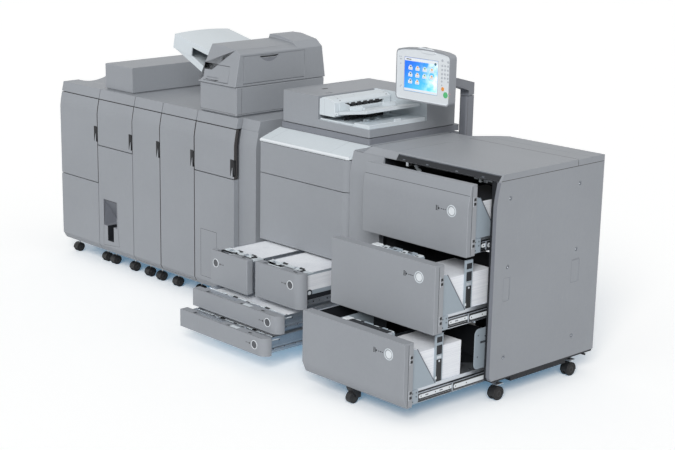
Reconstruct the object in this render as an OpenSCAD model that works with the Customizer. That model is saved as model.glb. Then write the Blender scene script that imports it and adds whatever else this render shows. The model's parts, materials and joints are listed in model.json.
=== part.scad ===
// Production laser printer line: six docked paper cabinets, print engine with scanner and upright
// panel, and a three-drawer paper deck. X runs along the line, the front plane faces -Y, Z is up.

/* [Line] */
// Depth of the docked cabinets, front plane to back
line_d = 730; // [690:5:780]
// Height of the cabinet tops above the floor
line_h = 1040; // [1030:2:1060]
// Clear height under the cabinets
floor_gap = 95; // [88:1:100]
// Wall thickness of the sheet-steel bodies
sheet = 3; // [2:0.5:4]
// Skin of the moulded covers
skin = 4; // [3:0.5:5]
// Gap between neighbouring doors and covers
seam = 6; // [5:0.5:7]
// Clearance between faces that slide past each other
play = 0.4; // [0.3:0.05:0.5]
// Radial clearance of a pin in its bore
fit = 0.05; // [0.03:0.01:0.1]

/* [Front profile] */
// Height of the sloping toe above the cabinet's lower edge
toe_rise = 35; // [25:1:45]
// How far the toe runs back
toe_in = 22; // [15:1:25]
// Height where the front starts to lean back
lean_z = 900; // [890:2:910]
// How far the top edge leans back
lean_in = 29; // [20:1:32]
// Height of the line between the doors and the top covers
top_split_z = 984; // [970:1:995]

/* [Cabinets] */
// Width of the stacker cabinet at the far left
stacker_w = 384; // [340:2:420]
// Width of the folding cabinet
folding_w = 340; // [320:2:380]
// Width of the punch cabinet
punch_w = 256; // [230:2:290]
// Width of the binding cabinet
binding_w = 303; // [270:2:340]
// Width of the inserter cabinet
inserter_w = 334; // [320:2:350]
// Width of the narrow docking cabinet
docking_w = 133; // [110:1:150]
// Width of the paper throat between the docking cabinet and the engine
throat_w = 71; // [55:1:90]
// How far the docking cabinet stands back
docking_back = 32; // [24:1:40]
// Depth of the space that a cabinet door covers
body_front = 62; // [58:1:70]
// Thickness of a cabinet door
door_t = 22; // [20:1:24]
// Width of the rim round a door's hollow back
door_rim = 20; // [18:1:22]
// Lower edge of the stacker door
stacker_split = 495; // [460:1:530]
// Lower edge of the folding cabinet's door
folding_split = 718; // [700:1:725]
// Lower edge of the inserter cabinet's door
inserter_split = 722; // [700:1:725]
// Height of the sill under a full-height door
sill_h = 12; // [11:1:15]
// Width of a door's finger recess
handle_w = 12; // [10:1:14]
// Lower edge of the finger recesses
handle_z = 737; // [732:1:750]
// Height of the finger recesses
handle_h = 86; // [70:1:90]
// Depth of the finger recesses
handle_d = 15; // [12:1:17]

/* [Hinges] */
// Distance of a door hinge axis from the door's edge and front
hinge_in = 10; // [9.5:0.5:11]
// Radius of a door hinge pin
hinge_pin_r = 3; // [2.5:0.25:3.5]
// Radius of the eye round a hinge pin
hinge_eye_r = 5.5; // [5:0.1:5.6]
// Height of a hinge arm
hinge_arm_h = 16; // [12:1:20]
// Vertical room above and below a hinge arm
hinge_room = 2; // [1:0.5:3]
// Distance of a hinge arm from the end of the straight front
hinge_edge = 50; // [40:1:60]

/* [Top units] */
// Width of the relay box on the folding cabinet
relay_w = 262; // [240:2:280]
// Height of the relay box
relay_h = 139; // [120:1:160]
// How far the relay box stands back from the front plane
relay_y = 60; // [50:1:80]
// Depth of the relay box
relay_d = 630; // [560:5:650]
// Height of the plinth under the relay box
plinth_h = 8; // [6:1:12]
// Height of the inserter column
column_h = 146; // [130:1:160]
// Height of the inserter head at its right edge
head_side_h = 166; // [160:1:185]
// Further rise of the head to its ridge
head_ridge_h = 34; // [26:1:40]
// Extra rise of the head's rear hump
hump_h = 22; // [14:1:30]
// Depth of the inserter column
column_d = 606; // [590:2:630]
// How far the column is set in from the cabinet's right side
column_in = 18; // [14:1:24]
// How far the inserter head's front leans back
head_lean = 42; // [34:1:50]
// Length of the side cover along the head
side_cover_d = 420; // [400:2:440]
// Thickness of the inserter's hinged covers
cover_t = 12; // [10:0.5:14]
// Length of the inserter trays to the left of the head
tray_l = 320; // [280:5:360]
// Width of the inserter trays
tray_w = 372; // [340:2:390]
// Thickness of the upper inserter tray
tray_t = 54; // [44:1:60]
// Thickness of the lower inserter tray
tray_low_t = 24; // [18:1:30]
// Slope of the inserter trays in degrees
tray_slope = 12; // [8:0.5:14]

/* [Engine] */
// Width of the print engine
engine_w = 643; // [620:1:665]
// Gap between the engine and the paper deck
deck_gap = 8; // [6:1:12]
// Corner radius at the engine's front right
engine_r = 46; // [40:1:50]
// Thickness of the engine's doors
engine_door_t = 24; // [22:1:26]
// Lower edge of the engine's lower door
engine_door_z = 456; // [450:1:462]
// Height of the line between the engine's doors
engine_split_z = 800; // [780:1:820]
// Height of the work shelf's front edge
shelf_z = 974; // [968:1:980]
// Thickness of the work shelf
shelf_t = 15; // [12:1:18]
// Height of the work shelf's back edge
shelf_back_z = 1016; // [1010:1:1020]
// Radius of the photosensitive drum
drum_r = 42; // [34:1:50]
// Length of the drum
drum_l = 380; // [340:5:420]
// Radius of the fixing rollers
fixing_r = 32; // [26:1:36]

/* [Engine drawers] */
// Thickness of an engine drawer front
drawer_front_t = 38; // [34:1:42]
// Depth of an engine drawer behind its front, as a share of the line's depth
drawer_share = 0.767; // [0.75:0.003:0.79]
// Width of the left deck front
left_deck_w = 279; // [270:1:285]
// Space between the two deck fronts
deck_split = 32; // [26:1:38]
// Lower edge of the two deck fronts
decks_z = 278; // [276:1:282]
// Lower edge of the upper cassette
upper_cassette_z = 186; // [184:1:188]
// Lower edge of the lower cassette
lower_cassette_z = 94; // [92:1:96]
// Radius of an engine drawer button
small_button_r = 18; // [14:0.5:19]
// How far the left deck stands open
left_deck_open = 325; // [0:5:500]
// How far the right deck stands open
right_deck_open = 300; // [0:5:500]
// How far the upper cassette stands open
upper_cassette_open = 440; // [0:5:500]
// How far the lower cassette stands open
lower_cassette_open = 520; // [500:5:530]

/* [Scanner] */
// How far the scanner stands out behind the cabinets
scanner_over = 38; // [30:1:44]
// Depth of the scanner base
scanner_d = 636; // [620:1:650]
// Height of the scanner base
scanner_h = 29; // [26:1:34]
// Height of the feeder housing
feeder_h = 157; // [140:1:170]
// Height of the rim under the feeder's cut-out
feeder_rim_h = 40; // [34:1:48]
// Width of the feeder's closed left part
feeder_left_w = 262; // [240:2:280]
// Depth of the feeder's cut-out
feeder_bay_d = 394; // [370:2:400]
// Slope of the document tray in degrees
document_slope = 9; // [6:0.5:11]

/* [Panel] */
// Width of the control panel
panel_w = 345; // [320:1:360]
// Height of the control panel at its sides
panel_h = 240; // [225:1:250]
// Rise of the panel's arched top
panel_arch = 12; // [6:1:16]
// Thickness of the control panel
panel_t = 42; // [36:1:48]
// Lower edge of the control panel
panel_z = 1226; // [1222:1:1240]
// Distance of the panel's face from the front plane
panel_y = 300; // [285:1:310]
// Width of the screen
screen_w = 211; // [200:1:215]
// Height of the screen
screen_h = 158; // [150:1:162]
// Width of the column
post_w = 47; // [42:1:52]
// Depth of the column
post_d = 58; // [52:1:62]
// Height of the column's top
post_top_z = 1206; // [1190:1:1215]
// Radius of the swivel pin
swivel_r = 12; // [10:0.5:14]
// Radius of the tilt pin
tilt_r = 8; // [6:0.5:9]

/* [Paper deck] */
// Width of the paper deck
deck_w = 902; // [880:2:920]
// Width of the deck's left section
post_sec_w = 204; // [196:1:212]
// Thickness of the deck's right wall
right_wall = 52; // [48:1:56]
// Thickness of the deck's lid
lid_t = 34; // [28:1:38]
// Lower edge of the bottom drawer front
bottom_z = 80; // [76:1:84]
// Lower edge of the middle drawer front
middle_z = 377; // [372:1:384]
// Lower edge of the top drawer front
top_z = 687; // [680:1:694]
// Gap between drawer fronts
front_gap = 4; // [3:0.5:5]
// Thickness of a deck drawer front
front_t = 55; // [50:1:58]
// Depth of a deck drawer behind its front, as a share of the line's depth
deck_drawer_share = 0.767; // [0.75:0.003:0.79]
// How far the top drawer stands open
top_open = 120; // [0:5:490]
// How far the middle drawer stands open
middle_open = 309; // [0:1:490]
// How far the bottom drawer stands open
bottom_open = 480; // [0:5:490]
// Radius of a deck drawer button
button_r = 18; // [15:0.5:20]
// Length of a slide member as a share of the line's depth
slide_share = 0.822; // [0.8:0.002:0.83]
// Thickness of a slide member
slide_t = 5; // [4:0.5:5.5]
// Height of a slide's fixed member
slide_h = 46; // [40:1:50]
// Height of the tray floor above the front's lower edge
tray_floor = 72; // [68:1:76]

/* [Paper and casters] */
// Length of the paper, front to back
paper_l = 297; // [280:1:300]
// Width of the paper along the line
paper_w = 210; // [200:1:212]
// Height of a stack in a deck drawer
stack_h = 158; // [100:1:170]
// Radius of a cabinet's caster wheels
wheel_r = 26; // [22:1:28]
// Radius of the paper deck's caster wheels
deck_wheel_r = 31; // [26:1:32]
// Width of a twin caster
caster_w = 44; // [36:1:48]

/* [Hidden] */
// One overrun for every cut
over = 1;
// Facets of round features
fine = 48;
// Steps of a rounded corner in an extruded outline
arc_steps = 8;

// Places along the line
folding_x = stacker_w;
punch_x = folding_x + folding_w;
binding_x = punch_x + punch_w;
inserter_x = binding_x + binding_w;
docking_x = inserter_x + inserter_w;
engine_x = docking_x + docking_w + throat_w;
deck_x = engine_x + engine_w + deck_gap;
total_w = deck_x + deck_w;
scanner_y = line_d + scanner_over - scanner_d;
line_back = scanner_y + scanner_d;
drawer_d = line_d * drawer_share;
deck_drawer_d = line_d * deck_drawer_share;
slide_l = line_d * slide_share;
front_reach = lower_cassette_open;

// Colours
grey = [0.60, 0.62, 0.65];
dark_grey = [0.42, 0.44, 0.46];
pale = [0.84, 0.86, 0.88];
steel = [0.76, 0.78, 0.80];
black = [0.10, 0.10, 0.11];
paper_white = [0.97, 0.97, 0.96];

// The whole line moves so that its origin is the middle of its footprint
module placed() {
    translate([-total_w / 2, (front_reach - line_back) / 2, 0]) children();
}

// An outline in Y and Z, carried along X
module across(w) {
    rotate([90, 0, 90]) linear_extrude(w) children();
}

// An outline in X and Z, carried back along Y
module back(d) {
    translate([0, d, 0]) rotate([90, 0, 0]) linear_extrude(d) children();
}

// A rod along X or Y from its own start
module rod_x(r, l) {
    rotate([0, 90, 0]) cylinder(r = r, h = l, $fn = fine);
}
module rod_y(r, l) {
    rotate([-90, 0, 0]) cylinder(r = r, h = l, $fn = fine);
}

// A block from low corner a to high corner b
module span(a, b) {
    translate(a) cube(b - a);
}

// A quarter arc of radius r about (cx, cy), from angle a0 over a quarter turn
function quarter(cx, cy, r, a0) =
    [for (i = [0 : arc_steps]) [cx + r * cos(a0 + 90 * i / arc_steps),
        cy + r * sin(a0 + 90 * i / arc_steps)]];

// A rectangle with four round corners, as points
function round_rect(w, h, r) = concat(
    quarter(r, r, r, 180), quarter(w - r, r, r, 270), quarter(w - r, h - r, r, 0), quarter(r, h - r, r,
        90));

// Front profile: sloping toe, upright middle, leaning top
toe_z = floor_gap + toe_rise;
lean_span = line_h - lean_z;
profile_z = [toe_z, lean_z, lean_z + lean_span / 4, lean_z + lean_span / 2, lean_z + lean_span * 3 / 4];
function front_y(z) =
    z < toe_z ? toe_in * min(1, (toe_z - z) / toe_rise) :
    z > lean_z ? lean_in * pow((z - lean_z) / lean_span, 1.25) : 0;
function levels(a, b) = concat([a], [for (z = profile_z) if (z > a && z < b) z], [b]);
function turned(list) = [for (i = [len(list) - 1 : -1 : 0]) list[i]];

// A panel that follows the front profile from height a to height b, t thick, starting in deep
function panel_outline(a, b, t, in) = concat(
    [for (z = levels(a, b)) [front_y(z) + in, z]],
    [for (z = turned(levels(a, b))) [front_y(z) + in + t, z]]);

// Cabinets

// Side outline of a cabinet whose door fills the heights a to b, shrunk by t
function cabinet_outline(a, b, t) = concat(
    [for (z = levels(floor_gap + t, a - t)) [front_y(z) + t, z]],
    [[body_front + t, a - t], [body_front + t, b + t]],
    [for (z = levels(b + t, line_h - t)) [front_y(z) + t, z]],
    [[line_d - t, line_h - t], [line_d - t, floor_gap + t]]);

door_top = top_split_z - seam / 3;
cover_low = top_split_z + seam / 3;
sill_z = floor_gap + sill_h;
function door_low(split) = split + seam / 3;
function panel_top(split) = split - seam / 3;
hinge_top_z = lean_z - hinge_edge;
hinge_x = seam / 2 + hinge_in;

// Arms that carry a door's hinge pins
module hinge_arms(split) {
    for (z = [split + hinge_edge, hinge_top_z])
        translate([0, 0, z - hinge_arm_h / 2])
            difference() {
                union() {
                    translate([hinge_x, hinge_in, 0])
                        cylinder(r = hinge_eye_r, h = hinge_arm_h, $fn = fine);
                    span([hinge_x - hinge_eye_r / 2, hinge_in, 0],
                         [hinge_x + hinge_eye_r / 2, body_front + sheet / 2, hinge_arm_h]);
                }
                translate([hinge_x, hinge_in, -over])
                    cylinder(r = hinge_pin_r + fit, h = hinge_arm_h + 2 * over, $fn = fine);
            }
}

// A cabinet: child 0 stays solid in its hollow, child 1 is cut away
module cabinet(w, low, top, split) {
    side = seam / 2;
    difference() {
        union() {
            difference() {
                across(w) polygon(cabinet_outline(low, top, 0));
                for (x = [-over, w - side])
                    span([x, -over, 0], [x + side + over, body_front, line_h + over]);
            }
            hinge_arms(split);
        }
        difference() {
            translate([side + skin, 0, 0]) across(w - 2 * (side + skin))
                polygon(cabinet_outline(low, top, skin));
            if ($children > 0) children(0);
        }
        if ($children > 1) children(1);
    }
}

// A hinged cabinet door with a hollow back, hinge slots, pins and a finger recess
module cabinet_door(w, low, split) {
    door_w = w - seam;
    top = door_top;
    slot_h = hinge_arm_h + 2 * hinge_room;
    difference() {
        translate([seam / 2, 0, 0]) across(door_w) polygon(panel_outline(low, top, door_t, 0));
        translate([seam / 2 + door_rim, 0, 0]) across(door_w - 2 * door_rim)
            polygon(panel_outline(low + door_rim, top - door_rim, door_t, skin));
        for (z = [split + hinge_edge, hinge_top_z])
            span([0, skin, z - slot_h / 2], [seam / 2 + door_rim + over, door_t + over, z + slot_h / 2]);
        span([w - seam / 2 - handle_w, -over, handle_z], [w, handle_d, handle_z + handle_h]);
    }
    for (z = [split + hinge_edge, hinge_top_z])
        translate([hinge_x, hinge_in, z - slot_h / 2 - over])
            cylinder(r = hinge_pin_r, h = slot_h + 2 * over, $fn = fine);
}

scoop_r = 300;
scoop_depth = 16;
scoop_share = 0.32;
step_share = 0.47;
module stacker_cabinet() {
    color(grey) cabinet(stacker_w, panel_top(stacker_split), cover_low, door_low(stacker_split)) {
        // Ribs under the scooped top
        span([0, line_d * step_share - scoop_r, line_h - 2 * scoop_depth],
             [stacker_w, line_d * step_share, line_h]);
        translate([-over, line_d * scoop_share, line_h + scoop_r - scoop_depth])
            rod_x(scoop_r, stacker_w - skin);
    }
}
module stacker_door() {
    color(grey) cabinet_door(stacker_w, door_low(stacker_split), door_low(stacker_split));
}

pocket_x_share = 0.141;
pocket_w_share = 0.385;
pocket_z = 256;
pocket_h = 153;
pocket_d = 90;
slot_w_share = 0.174;
slot_x_share = 0.253;
slot_z = 168;
module pocket_cut(grow) {
    translate([folding_w * pocket_x_share - grow, 0, 0]) across(folding_w * pocket_w_share + 2 * grow)
        polygon([[-over, pocket_z - grow], [pocket_d + grow, pocket_z - grow],
                 [pocket_d + grow, pocket_z + pocket_h / 8 + grow], [skin, pocket_z + pocket_h + grow],
                 [-over, pocket_z + pocket_h + grow]]);
    span([folding_w * slot_x_share - grow, -over, slot_z - grow],
         [folding_w * (slot_x_share + slot_w_share) + grow, pocket_d * 2 / 3 + grow, pocket_z]);
}
module folding_cabinet() {
    color(grey) translate([folding_x, 0, 0])
        cabinet(folding_w, panel_top(folding_split), cover_low, door_low(folding_split)) {
            pocket_cut(skin);
            pocket_cut(0);
        }
}
module folding_door() {
    color(grey) translate([folding_x, 0, 0])
        cabinet_door(folding_w, door_low(folding_split), door_low(folding_split));
}

module punch_cabinet() {
    color(grey) translate([punch_x, 0, 0]) cabinet(punch_w, sill_z, cover_low, sill_z);
}
module punch_door() {
    color(grey) translate([punch_x, 0, 0]) cabinet_door(punch_w, sill_z + seam / 3, sill_z);
}
module binding_cabinet() {
    color(grey) translate([binding_x, 0, 0]) cabinet(binding_w, sill_z, cover_low, sill_z);
}
module binding_door() {
    color(grey) translate([binding_x, 0, 0]) cabinet_door(binding_w, sill_z + seam / 3, sill_z);
}
module inserter_cabinet() {
    color(grey) translate([inserter_x, 0, 0])
        cabinet(inserter_w, panel_top(inserter_split), cover_low, door_low(inserter_split));
}
module inserter_door() {
    color(grey) translate([inserter_x, 0, 0])
        cabinet_door(inserter_w, door_low(inserter_split), door_low(inserter_split));
}

// The docking cabinet has no door; its throat carries paper from the engine
throat_back_share = 0.14;
throat_top_share = 0.94;
function docking_outline(t) = concat(
    [for (z = levels(floor_gap + t, line_h - t)) [front_y(z) + docking_back + t, z]],
    [[line_d - t, line_h - t], [line_d - t, floor_gap + t]]);
module docking_cabinet() {
    color(grey) translate([docking_x, 0, 0]) difference() {
        union() {
            across(docking_w) polygon(docking_outline(0));
            span([docking_w - sheet, line_d * throat_back_share, floor_gap],
                 [docking_w + throat_w, line_d * (1 - throat_back_share), line_h * throat_top_share]);
        }
        translate([skin, 0, 0]) across(docking_w - 2 * skin) polygon(docking_outline(skin));
        translate([0, docking_back, 0]) across(docking_w)
            polygon(panel_outline(top_split_z - seam / 3, top_split_z + seam / 3, skin / 2, 0));
    }
}

// Outline of a hinged leaf: its pinned edge is round, so it swings in a close seat
module leaf_outline(l) {
    circle(r = cover_t / 2, $fn = fine);
    translate([0, -cover_t / 2]) square([l, cover_t]);
}

// Relay box and inserter on top of the cabinets
relay_in_share = 0.027;
relay_x = folding_x + folding_w * relay_in_share;
relay_r = 6;
module relay_box() {
    color(grey) translate([relay_x, relay_y, line_h]) {
        difference() {
            union() {
                translate([plinth_h, plinth_h, 0])
                    cube([relay_w - 2 * plinth_h, relay_d - 2 * plinth_h, plinth_h + over]);
                translate([0, 0, plinth_h])
                    across(relay_w) polygon(concat(
                        [[0, 0]],
                        [for (p = turned(quarter(relay_r, relay_h - relay_r, relay_r, 90))) p],
                        [[relay_d, relay_h], [relay_d, 0]]));
            }
            translate([skin, skin, plinth_h + skin])
                cube([relay_w - 2 * skin, relay_d - 2 * skin, relay_h - 2 * skin - relay_r / 2]);
        }
    }
}

head_w = inserter_w - column_in - column_in / 2;
head_x = inserter_x + column_in / 2;
column_x = inserter_x + column_in;
column_w = inserter_w - 2 * column_in;
column_y = lean_in + over;
head_y = column_y - column_in / 2;
head_d = column_d + column_in;
head_z = line_h + plinth_h + column_h + seam / 3;
shoulder_share = 0.5;
hump_share = 0.68;
left_share = 0.24;
left_slope = head_w * left_share / (head_side_h + head_ridge_h);
// Front view outline of the inserter head, h its height over the shoulder
function head_outline(h) = [
    [0, 0], [head_w, 0], [head_w, head_side_h],
    [head_w * (1 - shoulder_share / 4), head_side_h + h * 0.62],
    [head_w * shoulder_share, head_side_h + h],
    [left_slope * (head_side_h + h), head_side_h + h]];
// Side view: the front leans back to the ridge, the rear leans in
module head_side(h, top) {
    polygon([[0, 0], [head_d, 0], [head_d - head_lean * 0.8, top], [head_lean, top], [head_lean, h],
        [head_lean * 0.86, h * 0.96]]);
}
side_cover_y = head_y + head_lean + cover_t;
flap_h = head_side_h * 0.52;
flap_w = head_w * 0.655;
cover_pin_r = 3;
pin_over = 6;
slope_share = head_lean / (head_side_h + head_ridge_h);
side_cover_z = head_z + cover_t;
side_cover_h = head_side_h - 2 * cover_t;
flap_x = head_x + head_w * 0.135;
flap_z = head_z + cover_t;
flap_pin_y = head_y + cover_t * 0.7;
module inserter_housing() {
    color(grey) translate([0, 0, line_h]) {
        translate([column_x + plinth_h, column_y + plinth_h, 0])
            cube([column_w - 2 * plinth_h, column_d - 2 * plinth_h, plinth_h + over]);
        difference() {
            translate([column_x, column_y, plinth_h]) cube([column_w, column_d, column_h]);
            translate([column_x + skin, column_y + skin, plinth_h + skin])
                cube([column_w - 2 * skin, column_d - 2 * skin, column_h - 2 * skin]);
        }
    }
    color(grey) difference() {
        union() {
            translate([head_x + plinth_h * 2, head_y + plinth_h * 2, head_z - seam])
                cube([head_w - plinth_h * 4, head_d - plinth_h * 4, seam + over]);
            translate([head_x, head_y, head_z]) intersection() {
                union() {
                    back(head_d) polygon(head_outline(head_ridge_h));
                    translate([0, head_d * hump_share, 0])
                        back(head_d * (1 - hump_share)) polygon(head_outline(head_ridge_h + hump_h));
                }
                across(head_w) head_side(head_side_h + head_ridge_h, head_side_h + head_ridge_h + hump_h);
            }
        }
        // Seat of the side cover and bore of its pin
        span([head_x + head_w - cover_t - play, side_cover_y, side_cover_z - play],
             [head_x + head_w + over, side_cover_y + side_cover_d, side_cover_z + side_cover_h]);
        translate([head_x + head_w - cover_t / 2, side_cover_y - cover_t, side_cover_z + cover_t / 2])
            rod_y(cover_pin_r + fit, side_cover_d + 2 * cover_t);
        // Seat of the front flap and bore of its pin
        translate([flap_x, 0, 0]) across(flap_w) polygon([
            [head_y - over, flap_z - play], [flap_pin_y + cover_t / 2 + play, flap_z - play],
            [flap_pin_y + cover_t / 2 + play, flap_z + cover_t / 2],
            [flap_pin_y + cover_t / 2 + play + flap_h * slope_share, flap_z + flap_h + play],
            [head_y - over, flap_z + flap_h + play]]);
        translate([flap_x - cover_t, flap_pin_y, flap_z + cover_t / 2])
            rod_x(cover_pin_r + fit, flap_w + 2 * cover_t);
        // Hollow of the head
        translate([head_x, head_y + head_lean + cover_t * 3, head_z])
            back(head_d - 2 * head_lean - cover_t * 3) polygon([
                [cover_t * 3, skin], [head_w - cover_t * 3, skin], [head_w - cover_t * 3, head_side_h - skin],
                [cover_t * 3 + left_slope * head_side_h, head_side_h - skin]]);
        // Paper slots on the left
        for (share = [upper_share, lower_share])
            span([head_x - over, tray_y + skin, head_z + head_side_h * share + skin],
                 [head_x + cover_t * 3 + left_slope * head_side_h, tray_y + tray_w - skin,
                     head_z + head_side_h * share + tray_low_t]);
    }
}

module inserter_side_cover() {
    l = side_cover_d - 2 * play;
    color(grey) translate([head_x + head_w - cover_t / 2, side_cover_y + play,
        side_cover_z + cover_t / 2]) {
        difference() {
            translate([0, l, 0]) rotate([90, -90, 0]) linear_extrude(l)
                leaf_outline(side_cover_h - cover_t / 2 - play);
            // Finger recess near the upper edge
            span([0, l * 0.27, side_cover_h * 0.86], [cover_t, l * 0.57, side_cover_h * 0.93]);
        }
        translate([0, -pin_over, 0]) rod_y(cover_pin_r, l + 2 * pin_over);
    }
}

module inserter_flap() {
    l = flap_w - 2 * play;
    color(grey) translate([flap_x + play, flap_pin_y, flap_z + cover_t / 2]) {
        difference() {
            rotate([-atan(slope_share), 0, 0]) rotate([0, -90, 180]) linear_extrude(l)
                leaf_outline(flap_h - cover_t / 2 - play);
            // Handle near the lower edge
            span([l * 0.13, -cover_t, flap_h * 0.12], [l * 0.62, 0, flap_h * 0.19]);
        }
        translate([-pin_over, 0, 0]) rod_x(cover_pin_r, l + 2 * pin_over);
    }
}

// Two pale trays slope down into the left of the head, the lower one twice as steep
tray_y = head_y + head_d * 0.43 - tray_w / 2;
upper_share = 0.56;
lower_share = 0.06;
crown_h = 9;
module sloped_tray(share, slope, l) {
    translate([head_x, tray_y, head_z + head_side_h * share]) rotate([0, slope, 0])
        translate([-l, 0, 0]) children();
}
module inserter_trays() {
    rim = sheet * 2;
    low_l = tray_l * 1.06;
    color(pale) difference() {
        union() {
            // Upper tray: a crowned cover, open below
            sloped_tray(upper_share, tray_slope, tray_l) difference() {
                across(tray_l + 2 * tray_t) polygon(concat(
                    [for (s = [0 : 1 / arc_steps : 1]) [tray_w * s,
                        tray_t + crown_h * (1 - pow(2 * s - 1, 2))]],
                    [[tray_w, -tray_low_t], [0, -tray_low_t]]));
                span([rim * 3, rim, -tray_t], [tray_l + 3 * tray_t, tray_w - rim, tray_t - rim]);
                // Hand opening at the front
                span([tray_l * 0.5, -over, -tray_t], [tray_l + 3 * tray_t, rim + over, tray_t * 0.5]);
            }
            // Lower tray: a floor with low side guides
            sloped_tray(lower_share, 2 * tray_slope, low_l) difference() {
                translate([0, rim / 2, -tray_low_t / 2])
                    cube([low_l + tray_t, tray_w - rim, tray_low_t * 1.5]);
                span([-over, 2 * rim, 0], [low_l + 2 * tray_t, tray_w - 2 * rim, tray_t]);
            }
        }
        // Both end at the head's sloping left face
        translate([head_x, tray_y - over, head_z]) back(tray_w + 2 * over) polygon([
            [0, 0], [0, -column_h], [head_w, -column_h], [head_w, 2 * head_side_h],
            [2 * head_side_h * left_slope, 2 * head_side_h]]);
    }
}

// Casters

// The tyres are pressed flat where they stand
tyre_flat = 0.5;
module caster(x, y, r, top) {
    translate([x, y, 0]) {
        difference() {
            translate([-caster_w / 2, 0, r - tyre_flat]) rod_x(r, caster_w);
            span([-caster_w, -r, -r], [caster_w, r, 0]);
            span([-caster_w / 12, -r - over, -over], [caster_w / 12, r + over, 2 * r + over]);
        }
        translate([-caster_w / 4, 0, r]) rod_x(r * 0.3, caster_w / 2);
        span([-caster_w / 12 - over / 2, -r * 0.6, r * 0.7],
             [caster_w / 12 + over / 2, r * 0.8, 2 * r + r * 0.3]);
        translate([0, r * 0.3, 2 * r]) cylinder(r = r * 0.35, h = top - 2 * r, $fn = fine);
        span([-caster_w / 4, -r * 0.5, top - r * 0.25], [caster_w / 4, r * 1.1, top]);
    }
}
// Share of each cabinet's width at which its casters stand
stacker_caster_share = [0.08, 0.86];
folding_caster_share = [0.09, 0.66];
punch_caster_share = [0.12, 0.55];
binding_caster_share = [0.12, 0.8];
inserter_caster_share = [0.12, 0.86];
docking_caster_share = [0.5];
engine_caster_share = [0.1, 0.9];
caster_front = 92;
caster_rear = line_d - 2 * caster_w;
module caster_row(x, w, share) {
    for (s = share) for (y = [caster_front, caster_rear]) caster(x + w * s, y, wheel_r, floor_gap);
}
deck_caster_in = 38;
module casters() {
    color(black) {
        caster_row(0, stacker_w, stacker_caster_share);
        caster_row(folding_x, folding_w, folding_caster_share);
        caster_row(punch_x, punch_w, punch_caster_share);
        caster_row(binding_x, binding_w, binding_caster_share);
        caster_row(inserter_x, inserter_w, inserter_caster_share);
        caster_row(docking_x, docking_w, docking_caster_share);
        caster_row(engine_x, engine_w, engine_caster_share);
        for (p = [[deck_caster_in, deck_left_d - 2 * caster_w], [deck_w - deck_caster_in,
            deck_left_d + caster_w / 3]])
            for (y = [caster_front, p[1]])
                caster(deck_x + p[0], y, deck_wheel_r, deck_base_z);
    }
}

// Paper deck

deck_base_z = floor_gap + seam;
deck_left_d = line_d * 0.805;
bay_x = post_sec_w;
bay_w = deck_w - post_sec_w - right_wall;
bay_back = front_t + seam + slide_l + 2 * seam;
lid_z = line_h - lid_t;
front_w = bay_w - 2 * front_gap;
front_x = bay_x + front_gap;
lid_front = lean_in * 0.84;
// Plan of the deck: the rear left corner stands back for the panel's column
function deck_plan(t) = [
    [t, lid_front], [deck_w - t, lid_front], [deck_w - t, line_d - t],
    [deck_w * 0.375 + t, line_d - t], [deck_w * 0.235 + t, deck_left_d - t], [t, deck_left_d - t]];
module fixed_rail(z, side) {
    x = side > 0 ? bay_x + bay_w - slide_t : bay_x;
    span([x, front_t + seam, z], [x + slide_t, front_t + seam + slide_l, z + slide_h]);
}
rail_low = 12;
base_t = 6;
strip_w = 36;
module deck_frame() {
    wall = skin;
    base_z = bottom_z - skin;
    color(dark_grey) translate([deck_x, 0, 0]) {
        difference() {
            union() {
                difference() {
                    translate([0, 0, deck_base_z]) linear_extrude(lid_z - deck_base_z)
                        polygon(deck_plan(wall));
                    // Bay that the drawers fill
                    span([bay_x, -over, 0], [bay_x + bay_w, bay_back, lid_z - wall]);
                    span([bay_x, -over, middle_z], [bay_x + bay_w, front_t + seam, lid_z + over]);
                    // Hollow left section and right wall
                    span([2 * wall, lid_front + wall, deck_base_z + wall],
                         [bay_x - wall, deck_left_d - 3 * wall, lid_z - wall]);
                    span([bay_x + bay_w + wall, lid_front + wall, deck_base_z + wall],
                         [deck_w - 2 * wall, line_d - 3 * wall, lid_z - wall]);
                }
                for (z = [bottom_z, middle_z, top_z]) for (side = [-1, 1]) fixed_rail(z + rail_low, side);
            }
            for (z = [bottom_z, middle_z, top_z]) for (side = [-1, 1]) slide_holes(z + rail_low, side);
        }
        // Base plate under the drawers, on a strip at each side
        span([bay_x - strip_w, 3 * front_t, base_z],
             [bay_x + bay_w + strip_w, 10 * front_t, base_z + base_t]);
        span([bay_x, 3 * front_t, base_z], [bay_x + bay_w, bay_back + wall, base_z + base_t / 2]);
        for (x = [bay_x - strip_w, bay_x + bay_w + wall])
            span([x, 3 * front_t, base_z], [x + strip_w - wall, 10 * front_t, deck_base_z]);
        // Brackets that dock the deck to the engine
        for (y = [bracket_y, deck_left_d - bracket_y])
            span([-deck_gap, y, 2 * deck_base_z], [wall, y + strip_w, 3 * deck_base_z]);
    }
}
bracket_y = 150;
screw_r = 2;
module slide_holes(z, side) {
    x = side > 0 ? bay_x + bay_w - slide_t : bay_x;
    for (s = [0.12, 0.5, 0.88])
        translate([x - over, front_t + seam + slide_l * s, z + slide_h / 2]) rod_x(screw_r, slide_t + over);
}

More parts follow.
